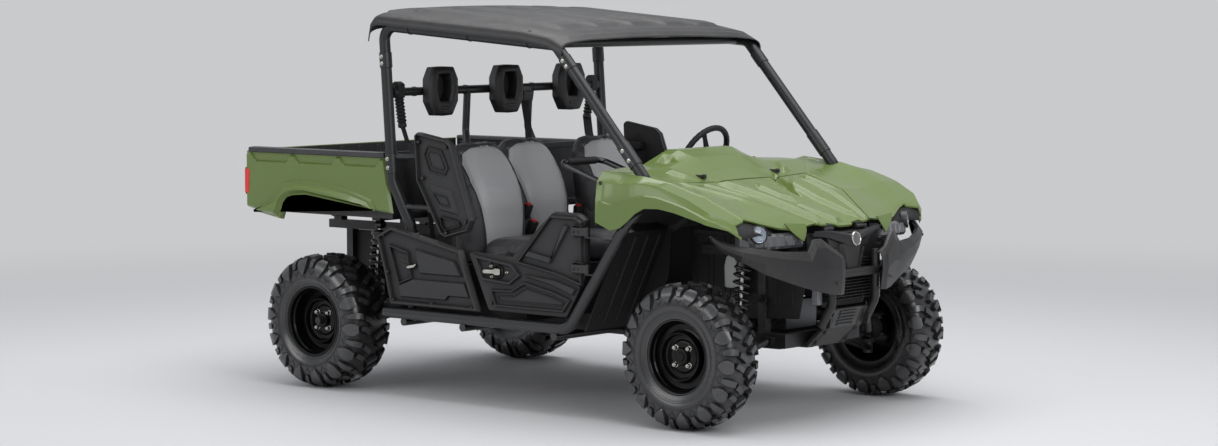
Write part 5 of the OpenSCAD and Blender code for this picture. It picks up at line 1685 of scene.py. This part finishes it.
for side, hand in SIDES:
    lamp = Shape(side)
    path = [Vector(p) for p in ((fx(166), 556, 0), (fx(222), 560, 0), (fx(256), 512, 0), (fx(276), 400, 0),
                                (fx(286), 285, 0))]
    line, rings = bent_path(path, 30, 6), []
    fine = []
    for a, b in zip(line, line[1:]):
        cuts = max(1, int((b - a).length / 9))
        fine += [a + (b - a) * k / cuts for k in range(cuts)]
    for k, p in enumerate(fine + [line[-1]]):
        rib = 3.5 if (k % 5) in (0, 1) and 8 < k < len(fine) - 6 else 0.0
        rings.append([(p.x - 46, p.y - 22, 748), (p.x - 46, p.y - 22, 812), (p.x - 14, p.y - 2, 812),
                      (p.x - 2 + rib, p.y + rib * 0.3, 800), (p.x + rib + 2, p.y + rib * 0.3, 760),
                      (p.x - 4, p.y, 748)])
    lamp.rings(rings)
    lamp.paint = 1
    lamp.box((fx(215), 271, 712), (fx(255), 296, 750))
    lamp.piece(f"lamp_lens_{hand}", "chassis", lamp_grey, black_plastic, slot="lamp_lens", bevel=0.8,
               smooth=34, replaces=("headlights",) if side < 0 else ())
    bulb, d = Shape(side), Vector((0.86, 0.5, 0.05)).normalized()
    centre = Vector((fx(246), 536, 812))
    bulb.lathe([(37, -20), (38, 4), (36, 8), (33, 6), (32, 0)], centre, d, 40)
    bulb.paint = 1
    bulb.lathe([(32, 4), (30, -6), (24, -12), (14, -15), (10, -15), (8, -2), (2, 1)], centre, d, 40)
    bulb.piece(f"round_lamp_{hand}", "chassis", black_plastic, reflector, smooth=50)
    glass = Shape(side)
    glass.lathe([(33, 3), (32.5, 6), (24, 9.5), (12, 11.5), (2, 12)], centre, d, 40)
    glass.piece(f"lamp_glass_{hand}", "chassis", clear_lens, smooth=60, solid=1.6)

# %% Bumper
BUMPER = [
    [(fx(144), 726, 816), (fx(152), 730, 811), (fx(154), 730, 805), (fx(147), 724, 796)],
    [(fx(172), 708, 797), (fx(186), 712, 784), (fx(188), 710, 768), (fx(178), 698, 752)],
    [(fx(232), 655, 774), (fx(250), 662, 752), (fx(251), 656, 730), (fx(236), 640, 706)],
    [(fx(286), 560, 756), (fx(304), 564, 728), (fx(304), 556, 694), (fx(288), 548, 651)],
    [(fx(322), 470, 742), (fx(340), 474, 712), (fx(338), 470, 670), (fx(322), 462, 619)],
    [(fx(338), 392, 738), (fx(360), 396, 702), (fx(357), 392, 656), (fx(338), 388, 595)],
    [(fx(350), 336, 735), (fx(376), 338, 694), (fx(372), 334, 648), (fx(352), 328, 577)],
    [(fx(348), 300, 782), (fx(372), 300, 744), (fx(388), 268, 662), (fx(370), 264, 560)],
    [(fx(362), 262, 786), (fx(386), 252, 748), (fx(400), 226, 660), (fx(384), 222, 549)],
    [(fx(388), 178, 728), (fx(404), 172, 700), (fx(409), 168, 634), (fx(398), 164, 542)],
    [(fx(386), 136, 706), (fx(398), 136, 684), (fx(402), 136, 640), (fx(392), 134, 544)]]
for side, hand in SIDES:
    guard = Shape(side)
    rows = [[Vector(p) for p in row] for row in BUMPER]
    rows = [[row[0] + Vector((-14, -6, -3))] + row + [row[-1] + Vector((-16, -8, 4))] for row in rows]
    guard.rings(rows, caps=False, wrap=False)
    guard.piece(f"bumper_shell_{hand}", "chassis", dark_plastic, slot="grey_plastic", bevel=2.0, smooth=12,
                solid=7.0, replaces=("front_bumper",) if side < 0 else ())
    trim = Shape(side)
    # Raised facet along the wing and a socket where the guard's tube goes in
    trim.plate([(fx(318), 752), (fx(352), 752), (fx(352), 700), (fx(318), 690)], 236, 262, 2)
    trim.lathe([(20, -8), (27, -6), (29, 4), (26, 9), (20, 6)], (fx(350), 243, 633), (0.12, 1, 0.05), 28)
    for x, y, z in ((fx(402), 196, 596), (fx(360), 320, 640), (fx(322), 474, 676), (fx(252), 655, 738)):
        trim.stud((x + 1, y, z), (0.9, 0.45, 0), 7, 5)
    trim.piece(f"bumper_trim_{hand}", "chassis", black_plastic, bevel=1.2)

# %% Brush guard and skid plate
bars = Shape()
leg = 157.5
bars.tube([(fx(335), -240, 632), (fx(352), -150, 625), (fx(352), 150, 625), (fx(335), 240, 632)], 19, bend=60,
          sides=26)
for side in (-1, 1):
    bars.side = side
    bars.tube([(fx(345), leg, 715), (fx(345), leg, 500), (fx(290), leg, 400)], 19, bend=60, sides=26)
    bars.lathe([(19, -16), (23, -14), (23, 14), (19, 16)], (fx(347), leg, 625), (0, 0, 1), 28)
    bars.plate(rounded([(fx(286), 388), (fx(322), 396), (fx(330), 440), (fx(296), 432)], 6), leg - 16,
               leg - 22)
bars.side = 1
bars.piece("brush_guard_bars", "chassis", dark_plastic, slot="grey_plastic", bevel=0.6, smooth=40,
           replaces=("brush_guard",))
skid = Shape()
line = [(fx(150), 305), (fx(198), 305), (fx(244), 346), (fx(288), 390), (fx(306), 430), (fx(321), 471)]
rows = []
for x, z in line:
    rows.append([(x - 6, -138, z + 18), (x, -136, z), (x + 3, -96, z - 3), (x - 3, -78, z + 2),
                 (x - 3, 78, z + 2), (x + 3, 96, z - 3), (x, 136, z), (x - 6, 138, z + 18)])
skid.rings(rows, caps=False, wrap=False)
skid.piece("skid_plate_front", "chassis", dark_plastic, slot="grey_plastic", bevel=1.0, smooth=20, solid=5.0)
marks = Shape()
for y in (-110, 110):
    for x, z in ((fx(222), 326), (fx(272), 374), (fx(312), 452)):
        marks.bolt((x + 4, y, z - 3), (0.75, 0, -0.6), 8, 6)
for k in range(5):
    z = 398 + 14 * k
    marks.rings([[(fx(290) + (z - 390) * 0.42 + d, y, z) for d in (0, 5)]
                 + [(fx(290) + (z + 6 - 390) * 0.42 + d, y, z + 6) for d in (5, 0)] for y in (-60, 60)])
marks.piece("skid_plate_bolts", "chassis", black_plastic, bevel=0.5)
shroud_and_shade_sheet = Shape()
shroud_and_shade_sheet.plate(rounded([(-262, 800), (262, 800), (250, 690), (148, 480), (-148, 480), (-250, 690)], 10),
             fx(282), fx(288), 0, axis="x")
for k in range(13):
    y = -132 + 22 * k
    shroud_and_shade_sheet.rings([[(fx(287), y - 4, z), (fx(294), y - 2, z), (fx(294), y + 2, z), (fx(287), y + 4, z)]
                  for z in (500, 690)])
# A dark sheet across the back of the nose, behind the lamps and bumper, is painted shade: it stands in for the shade
# in the space behind them.
shroud_and_shade_sheet.plate([(-470, 790), (-330, 858), (-200, 846), (0, 832), (200, 846), (330, 858), (470, 790), (480, 690),
              (-480, 690)], fx(196), fx(200), 0,
             axis="x")
shroud_and_shade_sheet.piece("radiator_shroud_and_shade_sheet", "chassis", liner, bevel=1.0)
print("front end made")

# %% [markdown]
# # Wheel wells and running gear
# Liners with push-in fasteners close the wells. Each shock is a damper inside a wound coil. Behind the
# right front wheel stand a washer bottle and the edge of the radiator; a muffler lies across the back.

# %% Liners
for side, hand in SIDES:
    well = Shape(side)
    rows = []
    for k in range(41):
        x = fx(-392) + (fx(258) - fx(-392)) * k / 40
        ly, lz = along(x, LIP_Y), along(x, LIP_Z)
        z = max(lz + 10, 800)
        top = min(z + 14, along(x, CREST_Z) - 14)
        rows.append([(x, ly - 8, z - 8 if z > 800 else lz + 4), (x, ly - 16, z + 4), (x, ly - 90, top),
                     (x, 460, top - 6), (x, 404, top - 30), (x, 398, top - 60)])
    well.rings(rows, caps=False, wrap=False)
    well.piece(f"front_well_liner_{hand}", "chassis", liner, smooth=50, solid=3.0)
    wall = Shape(side)
    wall.plate([(fx(-318), 790), (fx(-330), 610), (fx(-300), 476), (fx(-70), 476), (fx(-52), 424),
                (fx(250), 440), (fx(276), 560), (fx(276), 780)], 256, 260)
    wall.plate([(rx(-286), 686), (rx(-286), 400), (rx(400), 400), (rx(440), 686)], 238, 242)
    for k in range(6):
        wall.band([(fx(-300 + 90 * k), 770), (fx(-230 + 90 * k), 770), (fx(-230 + 90 * k), 492),
                   (fx(-300 + 90 * k), 492)],
                  8, 259, 264, 2)
    toe = Shape(side)
    # Ribs and fasteners on the slanted wall between the well and the cab
    for y in (440, 520, 600):
        toe.rings([[(fx(-545) + (z - 370) * 205 / 430 + d, y + w, z)
                    for d, w in ((0, -14), (6, -9), (6, 9), (0, 14))] for z in (400, 780)])
    for y, z in ((420, 470), (480, 620), (560, 470), (640, 620), (640, 760), (480, 760), (660, 440)):
        toe.stud((fx(-544) + (z - 370) * 205 / 430, y, z), (0.9, 0, -0.42), 9, 5)
    wall.piece(f"frame_covers_{hand}", "chassis", liner, bevel=1.0)
    toe.piece(f"well_wall_ribs_{hand}", "chassis", liner, bevel=1.5)

# %% Shocks
def make_shock(name, x, low_y, side, replaced=()):
    shock = Shape(side)
    top = Vector((x, 420, 736.7))
    low = Vector((x, low_y, 296.3))
    u, full = (top - low).normalized(), (top - low).length
    for eye in (low, top):
        shock.lathe([(8, -20), (18, -20), (18, 20), (8, 20)], eye, (1, 0, 0), 28, closed=True)
    shock.lathe([(20, 12), (23, 20), (23, 176), (20, 186)], low, u, 28)
    shock.lathe([(37, 118), (40, 122), (40, 130), (24, 134)], low, u, 32)
    shock.lathe([(26, full - 52), (39, full - 46), (39, full - 36), (20, full - 26)], low, u, 32)
    shock.paint = 1
    shock.lathe([(9, 180), (9, full - 20)], low, u, 20)
    shock.paint = 0
    shock.lathe([(30, full - 96), (30, full - 50)], low, u, 24)
    a, b = axes_for(u)
    start, length, turns = 136, full - 176, 8.5
    helix = []
    for k in range(int(turns * 20) + 1):
        t = k / (turns * 20)
        angle = 2 * math.pi * turns * t
        helix.append(low + u * (start + length * t) + (a * math.cos(angle) + b * math.sin(angle)) * 33)
    shock.tube(helix, 6.5, sides=10)
    return shock.piece(name, "chassis", spring_paint, zinc, slot="spring_steel", smooth=40, replaces=replaced)


for side, hand in SIDES:
    make_shock(f"front_shock_{hand}", fx(85), 600.5 - 118, side, ("shock_absorbers",) if side < 0 else ())
    make_shock(f"rear_shock_{hand}", rx(85), 590 - 118, side)

# %% Bottle, radiator edge and muffler
bottle_form = Shape(-1)
bottle_form.rings([[(fx(-40) + a * w, 330 + b * d, z) for a, b in ((-1, -0.7), (-0.7, -1), (0.7, -1),
                                                                   (1, -0.7),
                                                                     (1, 0.7), (0.7, 1), (-0.7, 1),
                                                                   (-1, 0.7))]
                   for z, w, d in ((560, 30, 20), (566, 36, 26), (650, 38, 28), (690, 30, 24),
                                   (704, 16, 14))])
bottle_form.paint = 1
bottle_form.lathe([(15, 702), (17, 704), (17, 722), (14, 726)], (fx(-40), 330, 0), (0, 0, 1), 24)
bottle_form.piece("washer_bottle", "chassis", bottle, rubber, bevel=3.0, bevel_steps=3)
core = Shape()
for y0, y1 in ((-228, -196), (196, 228)):
    core.box((fx(292), y0, 500), (fx(322), y1, 690))
core.paint = 1
for k in range(14):
    z = 506 + 13 * k
    core.rings([[(fx(296), y, z), (fx(318), y, z + 2), (fx(318), y, z + 5), (fx(296), y, z + 3)]
                for y in (-196, 196)])
core.piece("radiator_core", "chassis", radiator, iron, bevel=0.8)
muffler = Shape()
muffler.lathe([(40, -176), (66, -168), (74, -156), (76, -148), (74, -140), (74, 140), (76, 148), (74, 156),
               (66, 168), (40, 176)], (rx(-210), 0, 560), (0, 1, 0), 40)
muffler.tube([(rx(-210), 90, 500), (rx(-260), 120, 470), (rx(-320), 130, 470)], 22, bend=30, sides=20)
muffler.tube([(rx(-150), -60, 560), (rx(60), -60, 560), (rx(200), -40, 520), (rx(320), -40, 520)], 24,
             bend=60, sides=20)
muffler.piece("muffler", "chassis", iron, smooth=40)
print("running gear made")

# %% [markdown]
# # Cab fittings
# The dashboard keeps its built shape and gets a gauge hood, a centre panel with rocker switches and
# knobs, a glove box lid and round vents. The steering wheel is a padded rim on three flat spokes.

# %% Dashboard fittings
trim = Shape()
trim.plate(rounded([(300, 1002), (500, 1002), (486, 1066), (314, 1066)], 14), 562, 520, 10, axis="x")
trim.plate(rounded([(-78, 884), (78, 884), (90, 996), (-90, 996)], 10), 560, 538, 4, axis="x")
trim.plate(rounded([(-570, 900), (-200, 900), (-190, 990), (-580, 990)], 12), 560, 541, 4, axis="x")
trim.plate(rounded([(140, 910), (236, 910), (236, 986), (140, 986)], 10), 560, 541, 3, axis="x")
trim.paint = 1
trim.plate(rounded([(322, 1012), (478, 1012), (468, 1058), (332, 1058)], 8), 524, 517, 2, axis="x")
for k in range(3):
    trim.plate(rounded([(-62 + 44 * k, 948), (-26 + 44 * k, 948), (-26 + 44 * k, 984), (-62 + 44 * k, 984)],
                       4), 540, 532, 4,
               axis="x")
for y in (-40, 0, 40):
    trim.lathe([(12, 0), (12, 10), (10, 12), (3, 12.5)], (540, y, 918), (-1, 0, 0), 24)
for y in (-600, 270, 540):
    trim.lathe([(31, -6), (31, 5), (28, 7), (25, 4), (22, -2), (4, -2)], (545, y, 958), (-1, 0, 0.15), 32)
trim.plate([(-420, 968), (-350, 968), (-346, 980), (-424, 980)], 545, 537, 2, axis="x")
trim.piece("dashboard_fittings", "chassis", black_plastic, rubber, bevel=1.6)

# %% Passenger's grab bar
grab = Shape()
grab.tube(bent_path([(556, -598, 1000), (322, -598, 1078), (322, -318, 1078), (556, -318, 1006)], 42), 13,
          sides=16)
for y in (-598, -318):
    grab.lathe([(24, -5), (24, 4), (20, 8), (12, 8)], (554, y, 1002), (-0.95, 0, 0.31), 28)
grab.paint = 1
grab.tube([(322, -552, 1078), (322, -364, 1078)], 16.5, sides=20)
grab.piece("grab_bar", "chassis", bar_paint, rubber, bevel=0.6, smooth=50)

# %% Steering wheel
wheel = Shape()
hub = Vector((fx(-780), 400, 1062))
axis = Vector((math.cos(math.radians(28)), 0, -math.sin(math.radians(28))))
u, v = Vector((0, 1, 0)), axis.cross(Vector((0, 1, 0))).normalized()
grip = []
for k in range(72):
    a = 2 * math.pi * k / 72
    grip.append(hub + (u * math.cos(a) + v * math.sin(a)) * 148)
wheel.tube(grip, [13.2 + 0.8 * (0.5 + 0.5 * math.cos(36 * 2 * math.pi * k / 72)) for k in range(72)],
           sides=16, closed=True)
wheel.lathe([(20, 40), (38, 34), (44, 22), (44, 14), (38, 10), (12, 9)], hub, axis, 36)
wheel.lathe([(14, 38), (14, 436)], hub, axis, 28)
for a in (90, 210, 330):
    d = u * math.cos(math.radians(a - 90)) + v * math.sin(math.radians(a - 90))
    w = axis.cross(d)
    wheel.rings([[hub + d * r + w * s * h + axis * (t + depth)
                  for s, t in ((-1, -3), (1, -3), (1, 4), (-1, 4))]
                 for r, h, depth in ((30, 22, 22), (60, 15, 18), (110, 11, 8), (140, 13, 1))])
wheel.piece("steering_wheel_padded", "steering_column", rubber, slot="grip_rubber", bevel=0.8, smooth=46,
            replaces=("steering_wheel",))
print("cab fittings made")

# %% [markdown]
# # Finishes for the parts kept from the model
# The frame, floor, suspension and other plain steel parts stay as they were built, and each gets its own
# finish.

# %% Kept parts
KEPT = {"frame_steel": frame_paint, "cage_steel": cage_paint, "bar_steel": bar_paint, "green_plastic": olive,
        "black_plastic": black_plastic, "grey_plastic": lamp_grey, "seat_vinyl": seat_vinyl,
        "tyre_rubber": tyre_rubber,
        "wheel_steel": wheel_paint, "cast_aluminium": cast_metal, "cast_iron": iron,
        "spring_steel": spring_paint, "lamp_lens": lamp_grey, "red_lens": red_lens, "grip_rubber": rubber}
KEPT_BY_NODE = {"bed_box": black_plastic, "skid_plate": dark_plastic, "floor_pan": liner,
                "inner_fenders": liner, "engine_block": iron, "seat_base": liner}
kept_count = 0
for part in frame["record"]["subparts"]:
    kept = frame["nodes"].get(part["node"])
    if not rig.alive(kept):
        continue
    paint = KEPT_BY_NODE.get(part["node"], KEPT[part["material_slot"]])
    for place in kept.material_slots:
        place.material = paint
    if not kept.material_slots:
        kept.data.materials.append(paint)
    kept_count += 1
print("parts kept with a finish:", kept_count)

# %% Sizes and the end
visual_low, visual_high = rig.bounds()
json.dump({"cad": [list(cad_low), list(cad_high)], "visual": [list(visual_low), list(visual_high)]},
          open("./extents.json", "w"))
